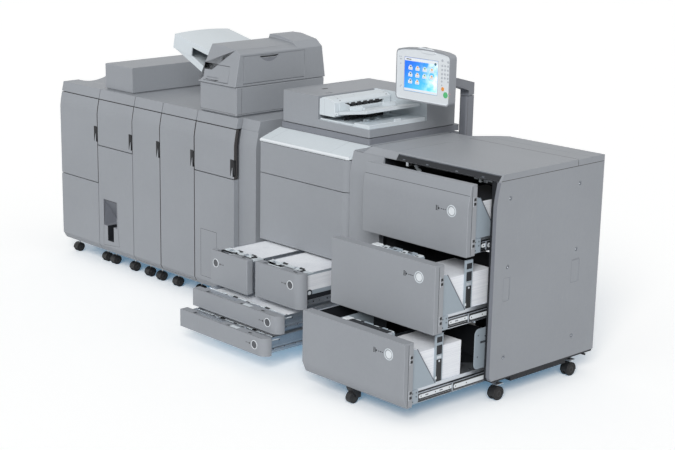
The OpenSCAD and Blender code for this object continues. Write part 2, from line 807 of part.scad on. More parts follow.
// Covers: right side, front post with the left side, and a lid in three plates
lid_left = 0.075;
lid_lean = 21;
cap_share = [0.12, 0.77];
cap_z_share = [0.11, 0.573, 0.915];
finger_w = 46;
finger_h = 108;
finger_z_share = 0.403;
module deck_covers() {
    t = skin;
    low = floor_gap + 4 * t;
    cap_r = 5 * screw_r;
    side_h = lid_z - low;
    lid_y = front_y(lid_z);
    color(grey) translate([deck_x, 0, 0]) {
        // Right side cover with screw caps and finger slots
        difference() {
            translate([deck_w - t, 0, 0]) across(t) polygon(concat(
                [for (z = levels(low, lid_z)) [front_y(z), z]], [[line_d, lid_z], [line_d, low]]));
            for (y = cap_share) for (z = cap_z_share)
                translate([deck_w - t / 2, line_d * y, low + side_h * z]) rod_x(cap_r, t);
            for (y = cap_share)
                span([deck_w - t / 4, line_d * y - finger_w / 2, low + side_h * finger_z_share],
                     [deck_w + over, line_d * y + finger_w / 2, low + side_h * finger_z_share + finger_h]);
        }
        translate([deck_w - 5 * t, 0, 0]) across(4.5 * t) polygon(concat(
            [for (z = levels(low, lid_z)) [front_y(z), z]], [[lid_front, lid_z], [lid_front, low]]));
        // Front post that follows the leaning profile
        across(post_sec_w - front_gap / 2) polygon(concat(
            [for (z = levels(floor_gap - 4 * t, lid_z)) [front_y(z), z]],
            [[lid_front, lid_z], [lid_front, floor_gap - 4 * t]]));
        // Left side with windows for the docking brackets
        difference() {
            span([0, lid_front, low], [t, deck_left_d, lid_z]);
            for (y = [bracket_y, deck_left_d - bracket_y])
                span([-over, y - play, 2 * deck_base_z - play],
                     [t + over, y + strip_w + play, 3 * deck_base_z + play]);
        }
        // Lid
        difference() {
            translate([0, 0, lid_z]) linear_extrude(lid_t) polygon([
                [deck_w * lid_left, lid_y], [deck_w, lid_y], [deck_w, line_d], [deck_w * 0.379, line_d],
                [deck_w * 0.335, line_d * 0.958], [deck_w * 0.235, deck_left_d], [deck_w * lid_left,
                    deck_left_d]]);
            // Seams between the lid's plates
            span([deck_w * 0.284 - t / 4, 0, line_h - t],
                 [deck_w * 0.284 + t / 4, line_d + over, line_h + over]);
            span([deck_w * 0.284, line_d * 0.876 - t / 4, line_h - t],
                 [deck_w + over, line_d * 0.876 + t / 4, line_h + over]);
            // Leaning front edge and the chamfer along the left edge
            across(deck_w + over) polygon([[lid_y - over, lid_z + t], [lid_y, lid_z + t],
                                           [lid_y + lid_lean, line_h + over], [lid_y - over,
                                               line_h + over]]);
            translate([0, line_d + over, 0]) rotate([90, 0, 0]) linear_extrude(line_d)
                polygon([[deck_w * lid_left - over, lid_z + t], [deck_w * lid_left, lid_z + t],
                         [deck_w * lid_left + lid_t, line_h + over], [deck_w * lid_left - over,
                             line_h + over]]);
        }
        span([0, lid_front + t / 2, lid_z], [deck_w * lid_left + t, deck_left_d - t / 2, lid_z + t]);
    }
}

// Drawer fronts of the deck; h is the height of the front, kind tells its outline
module deck_front(z, h, open, button_z) {
    button_x = deck_w - button_in;
    rim = 3 * skin;
    color(grey) translate([deck_x, -open, 0]) difference() {
        union() {
            difference() {
                translate([front_x, 0, 0]) across(front_w) polygon(concat(
                    [for (v = levels(z, z + h)) [front_y(v), v]],
                    [[front_t, z + h], [front_t, z]]));
                translate([front_x + rim, 0, 0]) across(front_w - 2 * rim)
                    polygon(concat(
                        [for (v = levels(z + rim, z + h - rim)) [front_y(v) + skin, v]],
                        [[front_t + over, z + h - rim], [front_t + over, z + rim]]));
            }
            translate([button_x, skin / 2, z + button_z])
                rod_y(button_r + 2 * skin, button_guide - skin / 2);
        }
        translate([button_x, -over, z + button_z]) rod_y(button_r + fit, button_guide + 2 * over);
    }
}
button_in = 150;
button_guide = 16;
button_seat = 0.3;
module deck_button(z, open, button_z) {
    color(pale) translate([deck_x + deck_w - button_in, -open, z + button_z]) {
        rod_y(button_r, button_guide + button_seat + over / 2);
        translate([0, button_guide + button_seat, 0]) rod_y(button_r + skin, skin);
    }
}

// Steel tray of a deck drawer with its paper stack, gusset and guide post
guide_y = 206;
guide_w = 46;
guide_rise = 220;
guide_t = 8;
stack_in = 24;
stack_y = front_t + stack_in;
chassis_h = 70;
module deck_tray(z, open) {
    t = sheet;
    right = bay_x + bay_w - 3 * slide_t - 2 * play;
    left = bay_x + 3 * slide_t + 2 * play;
    low = z + rail_low - 2 * t;
    floor_z = z + tray_floor;
    y0 = front_t;
    y1 = front_t + deck_drawer_d;
    stack_x = right - t - guide_t - paper_w - play;
    color(steel) translate([deck_x, -open, 0]) {
        difference() {
            union() {
                // Floor, chassis sides, left wall, rear wall and front wall
                span([left, y0, floor_z - t], [right, y1, floor_z]);
                span([right - t, y0, low], [right, y1, low + chassis_h]);
                span([left, y0, low], [left + t, y1, floor_z + stack_h * 0.8]);
                span([left, y1 - t, low + chassis_h / 2], [right, y1, floor_z + stack_h * 0.9]);
                span([left, y0, low], [right, y0 + t, floor_z + stack_h * 0.6]);
                // Drawer members of the slides
                for (x = [right, left - slide_t])
                    span([x, y0, z + rail_low + slide_h / 6],
                         [x + slide_t, front_t + slide_l, z + rail_low + slide_h * 5 / 6]);
                // Gusset behind the front's right end
                translate([right - t, 0, 0]) across(t) polygon([
                    [y0, floor_z - t], [guide_y, floor_z - t], [y0 + front_t * 0.6,
                        floor_z + stack_h * 1.12],
                    [y0, floor_z + stack_h * 1.2]]);
                // Guide post beside the stack
                span([right - t - guide_t, guide_y, floor_z - t],
                     [right - t, guide_y + guide_w, floor_z + guide_rise]);
                // Rear stop with a round top corner
                translate([right - t, y1 - front_t * 2, floor_z - t]) across(t)
                    polygon(concat([[front_t * 2, 0]], [[front_t * 2, stack_h * 1.2]],
                        quarter(front_t / 2, stack_h * 1.2 - front_t / 2, front_t / 2, 90), [[0, 0]]));
                // Left guide plate of the stack
                span([stack_x - 2 * t, stack_y, floor_z - t],
                     [stack_x - t, stack_y + paper_l, floor_z + stack_h * 0.7]);
                // Feed head bracket behind the front
                span([left + paper_w, y0, floor_z + stack_h * 1.3],
                     [left + paper_w * 2.2, y0 + front_t * 0.7, floor_z + stack_h * 1.38]);
                span([left + paper_w, y0, floor_z + stack_h * 0.5],
                     [left + paper_w * 2.2, y0 + t, floor_z + stack_h * 1.38]);
            }
            // Ladder windows of the guide post
            for (s = [0.56, 0.72, 0.88])
                span([right - t - guide_t - over, guide_y + guide_w * 0.2,
                    floor_z + guide_rise * s - guide_w * 0.28],
                     [right - t + over / 2, guide_y + guide_w * 0.8,
                         floor_z + guide_rise * s + guide_w * 0.28]);
        }
    }
    color(paper_white) translate([deck_x + stack_x, stack_y - open, floor_z])
        cube([paper_w, paper_l, stack_h]);
}

// Middle members of a drawer's two slides, half way out
module deck_slides(z, open) {
    color(steel) translate([deck_x, -open / 2, 0])
        for (x = [bay_x + slide_t + play, bay_x + bay_w - 2 * slide_t - play])
            difference() {
                span([x, front_t + seam + seam, z + rail_low + slide_h / 12],
                     [x + slide_t, front_t + seam + slide_l - seam, z + rail_low + slide_h * 11 / 12]);
                for (s = [0.1, 0.45, 0.9])
                    translate([x - over, front_t + seam + slide_l * s, z + rail_low + slide_h / 2])
                        rod_x(screw_r, slide_t + 2 * over);
            }
}

top_front_h = lid_z - front_gap / 2 - top_z;
middle_front_h = top_z - front_gap - middle_z;
bottom_front_h = middle_z - front_gap - bottom_z;
top_button_z = 190;
low_button_drop = 67;
module deck_top_front() { deck_front(top_z, top_front_h, top_open, top_button_z); }
module deck_top_tray() { deck_tray(top_z, top_open); }
module deck_top_button() { deck_button(top_z, top_open, top_button_z); }
module deck_top_slides() { deck_slides(top_z, top_open); }
module deck_middle_front() {
    deck_front(middle_z, middle_front_h, middle_open, middle_front_h - low_button_drop);
}
module deck_middle_tray() { deck_tray(middle_z, middle_open); }
module deck_middle_button() { deck_button(middle_z, middle_open, middle_front_h - low_button_drop); }
module deck_middle_slides() { deck_slides(middle_z, middle_open); }
module deck_bottom_front() {
    deck_front(bottom_z, bottom_front_h, bottom_open, bottom_front_h - low_button_drop);
}
// The bottom drawer carries an anti-tip caster under its front
module deck_bottom_tray() {
    deck_tray(bottom_z, bottom_open);
    x = deck_x + front_x + front_w * 0.44;
    color(black) translate([0, -bottom_open, 0]) {
        span([x - caster_w / 2, front_t, wheel_r],
             [x + caster_w / 2, front_t + wheel_r, bottom_z + rail_low]);
        translate([x - caster_w / 2, front_t, 0]) across(caster_w)
            polygon([[0, wheel_r], [wheel_r, wheel_r], [wheel_r, bottom_z - seam], [-wheel_r,
                bottom_z - seam]]);
        translate([x - caster_w / 3, front_t - wheel_r / 3, wheel_r + over])
            rod_x(wheel_r, caster_w * 2 / 3);
    }
}
module deck_bottom_button() { deck_button(bottom_z, bottom_open, bottom_front_h - low_button_drop); }
module deck_bottom_slides() { deck_slides(bottom_z, bottom_open); }

// Print engine

frame_in = 12;
frame_t = 5;
engine_bay_d = drawer_front_t + drawer_d + 3 * seam;
shelf_low_z = engine_door_z - frame_t;
runner_w = 8;
runner_h = 10;
divider_t = deck_split - 2 * skin;
divider_x = seam + left_deck_w + deck_split / 2;
shelf_back_y = scanner_y + skin;
// Plan of a front that ends in the engine's round right corner
function wrap_plan(x0, x1, t, r, round) = round ? concat(
    [[x0, 0]], quarter(x1 - r, r, r, 270), [[x1 - t, r]],
    turned(quarter(x1 - r, r, r - t, 270)), [[x0, t]]) : [[x0, 0], [x1, 0], [x1, t], [x0, t]];
// Solid plan of the same front
function front_plan(x0, x1, t, r, round) = round ? concat(
    [[x0, 0]], quarter(x1 - r, r, r, 270), [[x1, max(t, r)], [x0, max(t, r)]]) :
    [[x0, 0], [x1, 0], [x1, t], [x0, t]];

module runner_pair(x0, x1, z) {
    for (x = [x0, x1 - runner_w]) span([x, engine_r + seam, z], [x + runner_w, engine_bay_d, z + runner_h]);
}
module engine_frame() {
    x0 = frame_in;
    x1 = engine_w - frame_in;
    front = engine_r + seam;
    color(dark_grey) translate([engine_x, 0, 0]) {
        difference() {
            span([x0, front, floor_gap], [x1, line_d - frame_in, shelf_back_z - 5 * frame_t]);
            // Bay of the drawers
            span([x0 + frame_t, front - over, floor_gap + frame_t / 2],
                 [x1 - frame_t, engine_bay_d, shelf_low_z]);
            // Room of the imaging and fixing units
            span([x0 + frame_t * 4, front - over, engine_door_z + frame_t],
                 [x1 - frame_t * 4, drum_l + 3 * front, shelf_z - shelf_t - 4 * frame_t]);
            // Hollow behind them
            span([x0 + frame_t, drum_l + 3 * front + frame_t, engine_door_z + frame_t],
                 [x1 - frame_t, line_d - frame_in - frame_t, shelf_z - 4 * frame_t]);
            span([x0 + frame_t, engine_bay_d + frame_t, floor_gap + frame_t],
                 [x1 - frame_t, line_d - frame_in - frame_t, shelf_low_z]);
            shelf_room();
        }
        span([divider_x - divider_t / 2, front, decks_z],
             [divider_x + divider_t / 2, engine_bay_d, shelf_low_z + over]);
        for (z = [upper_cassette_z, lower_cassette_z])
            runner_pair(x0 + frame_t, x1 - frame_t, z + runner_drop);
        runner_pair(x0 + frame_t, divider_x - divider_t / 2, decks_z + runner_drop);
        runner_pair(divider_x + divider_t / 2, x1 - frame_t, decks_z + runner_drop);
        engine_hinges();
    }
}
runner_drop = 12;
// Everything over the underside of the work shelf
module shelf_room() {
    translate([-over, 0, 0]) across(engine_w + seam) polygon([
        [-skin, shelf_z - shelf_t], [skin * 2, shelf_z - shelf_t], [shelf_back_y, shelf_back_z - shelf_t],
        [shelf_back_y, line_h], [-skin, line_h]]);
}
// Hinge arms of the engine's two doors
upper_low = engine_split_z + seam / 3;
upper_high = shelf_z - shelf_t - seam / 2;
lower_high = engine_split_z - seam / 3;
function engine_hinge_z(low, high) = [low + (high - low) * 0.16, low + (high - low) * 0.84];
module engine_hinges() {
    for (z = concat(engine_hinge_z(engine_door_z, lower_high), engine_hinge_z(upper_low, upper_high)))
        translate([0, 0, z - hinge_arm_h / 2]) difference() {
            union() {
                translate([hinge_x, hinge_in, 0]) cylinder(r = hinge_eye_r, h = hinge_arm_h, $fn = fine);
                span([hinge_x - hinge_eye_r / 2, hinge_in, 0],
                     [hinge_x + hinge_eye_r / 2, engine_r + seam - play, hinge_arm_h]);
                span([hinge_x - hinge_eye_r / 2, engine_r + seam - frame_t, 0],
                     [frame_in + frame_t * 2, engine_r + seam - play, hinge_arm_h]);
                span([frame_in + play, engine_r + seam - frame_t, 0],
                     [frame_in + frame_t * 2, engine_r + seam + over, hinge_arm_h]);
            }
            translate([hinge_x, hinge_in, -over])
                cylinder(r = hinge_pin_r + fit, h = hinge_arm_h + 2 * over, $fn = fine);
        }
}
module engine_door(low, high) {
    slot_h = hinge_arm_h + 2 * hinge_room;
    h = high - low;
    color(grey) translate([engine_x, 0, 0]) {
        difference() {
            translate([0, 0, low]) linear_extrude(h)
                polygon(wrap_plan(seam / 2, engine_w - over, engine_door_t, engine_r, true));
            translate([0, skin, low + door_rim])
                span([seam / 2 + door_rim, 0, 0],
                     [engine_w - engine_r - door_rim, engine_door_t, h - 2 * door_rim]);
            for (z = engine_hinge_z(low, high))
                span([0, skin, z - slot_h / 2],
                     [seam / 2 + door_rim + over, engine_door_t + over, z + slot_h / 2]);
        }
        for (z = engine_hinge_z(low, high))
            translate([hinge_x, hinge_in, z - slot_h / 2 - over])
                cylinder(r = hinge_pin_r, h = slot_h + 2 * over, $fn = fine);
    }
}
module engine_upper_door() { engine_door(upper_low, upper_high); }
module engine_lower_door() { engine_door(engine_door_z, lower_high); }

// Side, rear and top covers of the engine, and the inlet at the back
inlet_w = 50;
inlet_h = 34;
module engine_covers() {
    t = skin;
    color(grey) translate([engine_x, 0, 0]) {
        difference() {
            span([0, engine_r + seam, floor_gap + t], [engine_w, line_d, shelf_back_z]);
            span([frame_in, -over, 0],
                 [engine_w - frame_in, line_d - frame_in, shelf_back_z - 5 * frame_t]);
            shelf_room();
            // Mains inlet
            span([engine_w * 0.8, line_d - frame_in / 2, floor_gap * 2],
                 [engine_w * 0.8 + inlet_w, line_d + over, floor_gap * 2 + inlet_h]);
        }
        for (s = [0.25, 0.5, 0.75])
            span([engine_w * 0.8 + inlet_w * s - screw_r, line_d - frame_in / 2 - over,
                floor_gap * 2 + inlet_h / 2 - screw_r],
                 [engine_w * 0.8 + inlet_w * s + screw_r, line_d - screw_r,
                     floor_gap * 2 + inlet_h / 2 + screw_r]);
    }
}

// Pale shelf that slopes up from the front edge to the scanner
shelf_seam_share = [0.24, 0.78];
module work_shelf() {
    y1 = shelf_back_y;
    color(pale) translate([engine_x, 0, 0]) difference() {
        intersection() {
            across(engine_w + seam) polygon([
                [-skin / 4, shelf_z - shelf_t], [-skin, shelf_z - shelf_t / 2], [skin, shelf_z],
                [y1 * 0.94, shelf_back_z - shelf_t / 8], [y1, shelf_back_z - shelf_t / 8],
                [y1, shelf_back_z - shelf_t], [skin * 2, shelf_z - shelf_t]]);
            translate([0, -skin, 0]) linear_extrude(line_h) polygon(concat(
                [[0, 0]], quarter(engine_w + seam / 2 - engine_r, engine_r, engine_r, 270),
                    [[engine_w + seam / 2, y1 * 2], [0, y1 * 2]]));
        }
        for (s = shelf_seam_share)
            translate([engine_w * s, 0, 0]) across(over)
                polygon([[-2 * skin, shelf_z - over], [y1 + over, shelf_back_z - over], [y1 + over,
                    line_h], [-2 * skin, line_h]]);
    }
}

// Drum with its chargers and developer, and the fixing rollers, on end plates
module imaging_unit() {
    y0 = engine_r + 4 * seam;
    zc = engine_door_z + (engine_split_z - engine_door_z) * 0.62;
    x = engine_x + engine_w * 0.56;
    xf = engine_x + engine_w * 0.2;
    low = engine_door_z + frame_t;
    color([0.2, 0.45, 0.42]) translate([x, y0 + sheet, zc]) rod_y(drum_r, drum_l);
    color(black) {
        translate([x, y0 - sheet, zc]) rod_y(drum_r * 0.3, drum_l + 4 * sheet);
        translate([x + drum_r * 1.35, y0, zc]) rod_y(drum_r * 0.3, drum_l + sheet);
        span([x - drum_r * 2.3, y0 + sheet, zc - drum_r], [x - drum_r * 1.1, y0 + drum_l, zc + drum_r]);
        span([x - drum_r * 2.4, y0, low], [x + drum_r * 1.8, y0 + sheet, zc + drum_r * 1.3]);
        span([x - drum_r * 2.4, y0 + drum_l, low],
             [x + drum_r * 1.8, y0 + drum_l + sheet, zc + drum_r * 1.3]);
    }
    color(steel) {
        span([xf - fixing_r * 1.3, y0, low], [xf + fixing_r * 1.3, y0 + sheet, zc + fixing_r * 2.3]);
        span([xf - fixing_r * 1.3, y0 + drum_l, low],
             [xf + fixing_r * 1.3, y0 + drum_l + sheet, zc + fixing_r * 2.3]);
    }
    color(dark_grey) for (z = [zc - fixing_r * 0.8, zc + fixing_r * 1.22])
        translate([xf, y0 + sheet, z]) rod_y(fixing_r, drum_l - sheet);
}

// Buttons sit higher in the two tall drawers
function button_share(h) = h > decks_h * 0.75 ? 0.64 : 0.54;

// Engine drawers: front, tray with paper, button
module engine_drawer_front(x0, x1, z, h, open, round, button_x) {
    t = drawer_front_t;
    color(grey) translate([engine_x, -open, 0]) difference() {
        union() {
            difference() {
                translate([0, 0, z]) linear_extrude(h) polygon(front_plan(x0, x1, t, engine_r, round));
                span([x0 + 2 * skin, skin, z + 2 * skin],
                     [x1 - (round ? engine_r : 2 * skin), engine_r + over, z + h - 4 * skin]);
            }
            translate([button_x, skin / 2, z + h * button_share(h)])
                rod_y(small_button_r + skin, button_guide - skin / 2);
        }
        translate([button_x, -over, z + h * button_share(h)])
            rod_y(small_button_r + fit, button_guide + 2 * over);
        // Grip scoop in the top edge
        span([x0 + (x1 - x0) * 0.14, t * 0.3, z + h - 3 * skin],
             [x0 + (x1 - x0) * 0.48, engine_r + over, z + h + over]);
    }
}
module engine_drawer_button(z, h, open, button_x) {
    color(dark_grey) translate([engine_x + button_x, -open, z + h * button_share(h)]) {
        rod_y(small_button_r, button_guide + button_seat + over / 2);
        translate([0, button_guide + button_seat, 0]) rod_y(small_button_r + skin, skin / 2);
    }
}
// x0 and x1 are the inner faces of the walls that carry the runners
module engine_tray(x0, x1, z, h, open, reach, stack, stack_x) {
    t = sheet;
    left = x0 + runner_w + play;
    right = x1 - runner_w - play;
    y0 = reach;
    y1 = drawer_front_t + drawer_d;
    low = z + runner_drop / 3;
    flange_z = z + runner_drop + runner_h + play;
    color(steel) translate([engine_x, -open, 0]) {
        difference() {
            span([left, y0, low], [right, y1, z + h]);
            span([left + t, y0 + t, low + t], [right - t, y1 - t, z + h + over]);
        }
        span([x0 + play, y0 + engine_r / 2, flange_z], [left + over, y1, flange_z + t]);
        span([right - over, y0 + engine_r / 2, flange_z], [x1 - play, y1, flange_z + t]);
        // Front guide bridge over the tray
        span([left, y0, z + h - t], [right, y0 + engine_r * 0.6, z + h]);
        for (x = [left + (right - left) * 0.3, left + (right - left) * 0.66])
            span([x, y0 + engine_r * 0.6 - t, z + h - 4 * t],
                 [x + 4 * t, y0 + engine_r * 0.6 + t, z + h + t]);
    }
    color(paper_white) translate([engine_x + stack_x, y0 + engine_r * 0.7 - open, low + t])
        cube([paper_w, paper_l, stack]);
}

left_x0 = seam;
left_x1 = seam + left_deck_w;
right_x0 = left_x1 + deck_split;
right_x1 = engine_w - over;
decks_h = shelf_low_z + frame_t - seam / 2 - decks_z;
decks_tray_h = decks_h - 3 * sheet;
cassette_gap = 4;
upper_h = decks_z - cassette_gap - upper_cassette_z;
lower_h = upper_cassette_z - cassette_gap - lower_cassette_z;
cassette_stack = 36;
left_button_x = seam + left_deck_w * 0.14;
right_button_x = engine_w * 0.886;
module left_deck_front() {
    engine_drawer_front(left_x0, left_x1, decks_z, decks_h, left_deck_open, false, left_button_x);
}
module left_deck_tray() {
    engine_tray(frame_in + frame_t, divider_x - divider_t / 2, decks_z, decks_tray_h, left_deck_open,
        drawer_front_t, decks_tray_h * 0.88, divider_x - divider_t / 2 - paper_w - 2 * runner_w);
}
module left_deck_button() { engine_drawer_button(decks_z, decks_h, left_deck_open, left_button_x); }
module right_deck_front() {
    engine_drawer_front(right_x0, right_x1, decks_z, decks_h, right_deck_open, true, right_button_x);
}
module right_deck_tray() {
    engine_tray(divider_x + divider_t / 2, engine_w - frame_in - frame_t, decks_z, decks_tray_h,
        right_deck_open,
        engine_r, decks_tray_h * 0.88, engine_w - frame_in - frame_t - paper_w - 2 * runner_w);
}
module right_deck_button() { engine_drawer_button(decks_z, decks_h, right_deck_open, right_button_x); }
module cassette_tray(z, h, open) {
    engine_tray(frame_in + frame_t, engine_w - frame_in - frame_t, z, h - 3 * sheet, open, engine_r,
        cassette_stack, (engine_w - paper_w) / 2);
}
module upper_cassette_front() {
    engine_drawer_front(seam, right_x1, upper_cassette_z, upper_h, upper_cassette_open, true,
        right_button_x);
}
module upper_cassette_tray() { cassette_tray(upper_cassette_z, upper_h, upper_cassette_open); }
module upper_cassette_button() {
    engine_drawer_button(upper_cassette_z, upper_h, upper_cassette_open, right_button_x);
}
module lower_cassette_front() {
    engine_drawer_front(seam, right_x1, lower_cassette_z, lower_h, lower_cassette_open, true,
        right_button_x);
}
module lower_cassette_tray() { cassette_tray(lower_cassette_z, lower_h, lower_cassette_open); }
module lower_cassette_button() {
    engine_drawer_button(lower_cassette_z, lower_h, lower_cassette_open, right_button_x);
}

// Scanner and document feeder

scanner_x = engine_x + seam;
scanner_w = engine_w - 2 * seam;
scanner_z = shelf_back_z;
scanner_top = scanner_z + scanner_h;
feeder_x = scanner_x + seam;
feeder_w = scanner_w - 2 * seam;
feeder_y = scanner_y + seam;
hinge_bar_d = 22;
hinge_bar_h = 28;
feeder_pin_r = 5;
feeder_axis_y = line_back - hinge_bar_d / 2;
feeder_axis_z = scanner_top + hinge_bar_h * 0.58;
feeder_back = feeder_axis_y - hinge_bar_d * 0.85;
feeder_z = scanner_top + seam * 0.6;
knuckle_w = 38;
knuckle_share = [0.16, 0.84];
platen_w = 440;
platen_d = 310;
platen_t = 4;
module scanner_base() {
    color(dark_grey) difference() {
        union() {
            translate([scanner_x, scanner_y, scanner_z]) linear_extrude(scanner_h)
                polygon(round_rect(scanner_w, scanner_d, skin * 3));
            span([scanner_x + engine_r, line_back - hinge_bar_d, scanner_z],
                 [scanner_x + scanner_w - engine_r, line_back, scanner_top + hinge_bar_h]);
        }
        // Seat of the platen glass and the room of the scanning carriage
        translate([scanner_x + (scanner_w - platen_w) / 2 - play, scanner_y + engine_r * 1.6 - play,
            scanner_top - platen_t])
            cube([platen_w + 2 * play, platen_d + 2 * play, platen_t + over]);
        translate([scanner_x + (scanner_w - platen_w) / 2 + skin, scanner_y + engine_r * 1.6 + skin,
            scanner_z + skin])
            cube([platen_w - 2 * skin, platen_d - 2 * skin, scanner_h]);
        for (s = knuckle_share)
            span([feeder_x + feeder_w * s - knuckle_w / 2 - over, line_back - hinge_bar_d - over,
                scanner_top],
                 [feeder_x + feeder_w * s + knuckle_w / 2 + over, line_back + over,
                     scanner_top + hinge_bar_h + over]);
        translate([feeder_x + over, feeder_axis_y, feeder_axis_z]) rod_x(feeder_pin_r + fit, feeder_w);
    }
}
module platen_glass() {
    color([0.55, 0.7, 0.72])
        translate([scanner_x + (scanner_w - platen_w) / 2, scanner_y + engine_r * 1.6,
            scanner_top - platen_t + play / 2])
            cube([platen_w, platen_d, platen_t - play / 2]);
}
bay_r = 16;
feeder_bay_x = feeder_left_w;
module feeder_housing() {
    color(grey) {
        difference() {
            translate([feeder_x, feeder_y, feeder_z]) {
                difference() {
                    linear_extrude(feeder_h) polygon(round_rect(feeder_w, feeder_back - feeder_y,
                        skin * 2));
                    // Cut-out for the pale feed unit and the document tray
                    translate([0, 0, feeder_rim_h]) linear_extrude(feeder_h)
                        translate([feeder_bay_x, -bay_r])
                        polygon(round_rect(feeder_w, feeder_bay_d + bay_r, bay_r));
                    translate([feeder_bay_x + skin * 2, skin * 3, skin])
                        cube([feeder_w - feeder_bay_x - 5 * skin, feeder_bay_d - 6 * skin, feeder_rim_h]);
                    // Hollow left part and hollow back part
                    translate([skin, skin, skin * 2])
                        cube([feeder_bay_x - 2 * skin, feeder_back - feeder_y - 2 * skin,
                            feeder_h - cover_t * 3]);
                    translate([feeder_bay_x + skin, feeder_bay_d + skin, skin * 2])
                        cube([feeder_w - feeder_bay_x - 2 * skin,
                            feeder_back - feeder_y - feeder_bay_d - 2 * skin, feeder_h - 4 * skin]);
                    // Seat of the feeder cover
                    span([feeder_cover_in - play, feeder_cover_in - play, feeder_h - cover_t - play],
                         [feeder_bay_x - feeder_cover_in + play, feeder_bay_d + play, feeder_h + over]);
                    translate([feeder_cover_in + cover_t / 2, feeder_cover_in - cover_t,
                        feeder_h - cover_t / 2])
                        rod_y(cover_pin_r + fit, feeder_bay_d - feeder_cover_in + 2 * cover_t);
                }
            }
        }
        for (s = knuckle_share) {
            x = feeder_x + feeder_w * s;
            translate([x - knuckle_w / 2, feeder_axis_y, feeder_axis_z])
                rod_x(feeder_pin_r * 1.8, knuckle_w);
            span([x - knuckle_w / 2, feeder_back - over, feeder_axis_z - feeder_pin_r],
                 [x + knuckle_w / 2, feeder_axis_y, feeder_axis_z + feeder_pin_r * 1.8]);
            translate([x - knuckle_w, feeder_axis_y, feeder_axis_z]) rod_x(feeder_pin_r, 2 * knuckle_w);
        }
    }
}
feeder_cover_in = 14;
module feeder_cover() {
    w = feeder_bay_x - 2 * feeder_cover_in - cover_t / 2;
    l = feeder_bay_d - feeder_cover_in;
    color(grey) translate([feeder_x + feeder_cover_in + cover_t / 2, feeder_y + feeder_cover_in,
        feeder_z + feeder_h - cover_t / 2]) {
        difference() {
            back(l) leaf_outline(w);
            // Finger recess at the free edge
            span([w - 3 * cover_t, l * 0.18, 0], [w - cover_t, l * 0.3, cover_t]);
        }
        translate([0, -pin_over, 0]) rod_y(cover_pin_r, l + 2 * pin_over);
    }
}
// Pale feed unit in the cut-out: a sloping body with the feed slot, and the exit tray below it
unit_w_share = 0.3;
exit_t = 12;
document_t = 14;
module feeder_unit() {
    x0 = feeder_x + feeder_bay_x + bay_r * 0.3;
    z0 = feeder_z + feeder_rim_h;
    w = (feeder_w - feeder_bay_x) * unit_w_share;
    d = feeder_bay_d - bay_r * 0.3;
    h = feeder_h - feeder_rim_h;
    color(pale) {
        // Body over the exit slot
        translate([x0, feeder_y + skin, z0]) difference() {
            back(d - skin) polygon([[0, h * 0.22], [0, h * 0.9], [w * 0.25, h * 0.99], [w * 0.8, h * 0.93],
                                    [w, h * 0.82], [w, h * 0.22]]);
            span([w * 0.6, d * 0.1, h * 0.58], [w + over, d * 0.86, h * 0.7]);
        }
        // Bridge to the back wall and the exit tray with its raised end
        span([x0, feeder_y + d * 0.9, z0], [x0 + w, feeder_y + d, z0 + h * 0.3]);
        span([x0, feeder_y + skin, z0], [feeder_x + feeder_w - skin, feeder_y + d, z0 + exit_t / 3]);
        span([feeder_x + feeder_w - w, feeder_y + skin, z0],
             [feeder_x + feeder_w - skin, feeder_y + d, z0 + exit_t * 1.6]);
        for (s = [0.22, 0.42])
            span([feeder_x + feeder_w - w * 1.2, feeder_y + d * s, z0],
                 [feeder_x + feeder_w - w, feeder_y + d * s + exit_t * 2, z0 + exit_t * 2]);
        // Pivots of the document tray
        for (y = [feeder_y + skin, feeder_y + d - 3 * skin])
            difference() {
                span([document_x - 5 * skin, y, document_z - 2 * skin],
                     [document_x + 2 * skin, y + 2 * skin, document_z + 2 * skin]);
                translate([document_x, y - over, document_z]) rod_y(cover_pin_r + fit, 2 * skin + 2 * over);
            }
    }
}
document_x = feeder_x + feeder_bay_x + (feeder_w - feeder_bay_x) * unit_w_share + bay_r * 0.3 + 4 * skin;
document_z = feeder_z + feeder_rim_h + (feeder_h - feeder_rim_h) * 0.36;
module document_tray() {
    y0 = feeder_y + 3 * skin + 2 * play;
    y1 = feeder_y + feeder_bay_d - bay_r * 0.3 - 3 * skin - 2 * play;
    l = (feeder_w - feeder_bay_x) * 0.56;
    color(pale) translate([document_x, 0, document_z]) {
        translate([0, y0 - skin, 0]) rod_y(cover_pin_r, y1 - y0 + 2 * skin);
        rotate([0, -document_slope, 0]) {
            span([-skin, y0, -skin], [l, y1, document_t - skin]);
            for (y = [y0 + (y1 - y0) * 0.16, y0 + (y1 - y0) * 0.78])
                span([l * 0.12, y, document_t - 2 * skin], [l * 0.55, y + 2 * skin, document_t + 4 * skin]);
        }
    }
}

// Upright control panel: column at the engine's rear right, swivelling arm, tilting panel

post_in = 55;
panel_in = 169;
tilt_gap = 26;
post_x = engine_x + engine_w + post_in;
post_y = line_d - post_d * 0.7;
post_cx = post_x + post_w / 2;
post_cy = post_y + post_d / 2;
foot_h = 44;
foot_z = shelf_back_z - 2 * foot_h;
module panel_column() {
    color(dark_grey) {
        translate([post_x, post_y, foot_z - foot_h]) linear_extrude(post_top_z - foot_z + foot_h)
            polygon(round_rect(post_w, post_d, skin * 2));
        // Foot bolted to the engine's side
        span([engine_x + engine_w, post_y, foot_z], [post_x + over, line_d, foot_z + foot_h]);
        span([engine_x + engine_w, post_y, foot_z + 1.5 * foot_h],
             [post_x + over, line_d, foot_z + 2 * foot_h]);
        translate([post_cx, post_cy, post_top_z - over])
            cylinder(r = swivel_r, h = arm_h * 0.8, $fn = fine);
    }
}
panel_cx = engine_x + engine_w + panel_in;
tilt_y = panel_y + panel_t + tilt_gap;
tilt_z = panel_z + panel_h * 0.4;
arm_h = 60;
arm_w = 46;
arm_turn = atan((panel_cx - post_cx) / (post_cy - tilt_y));
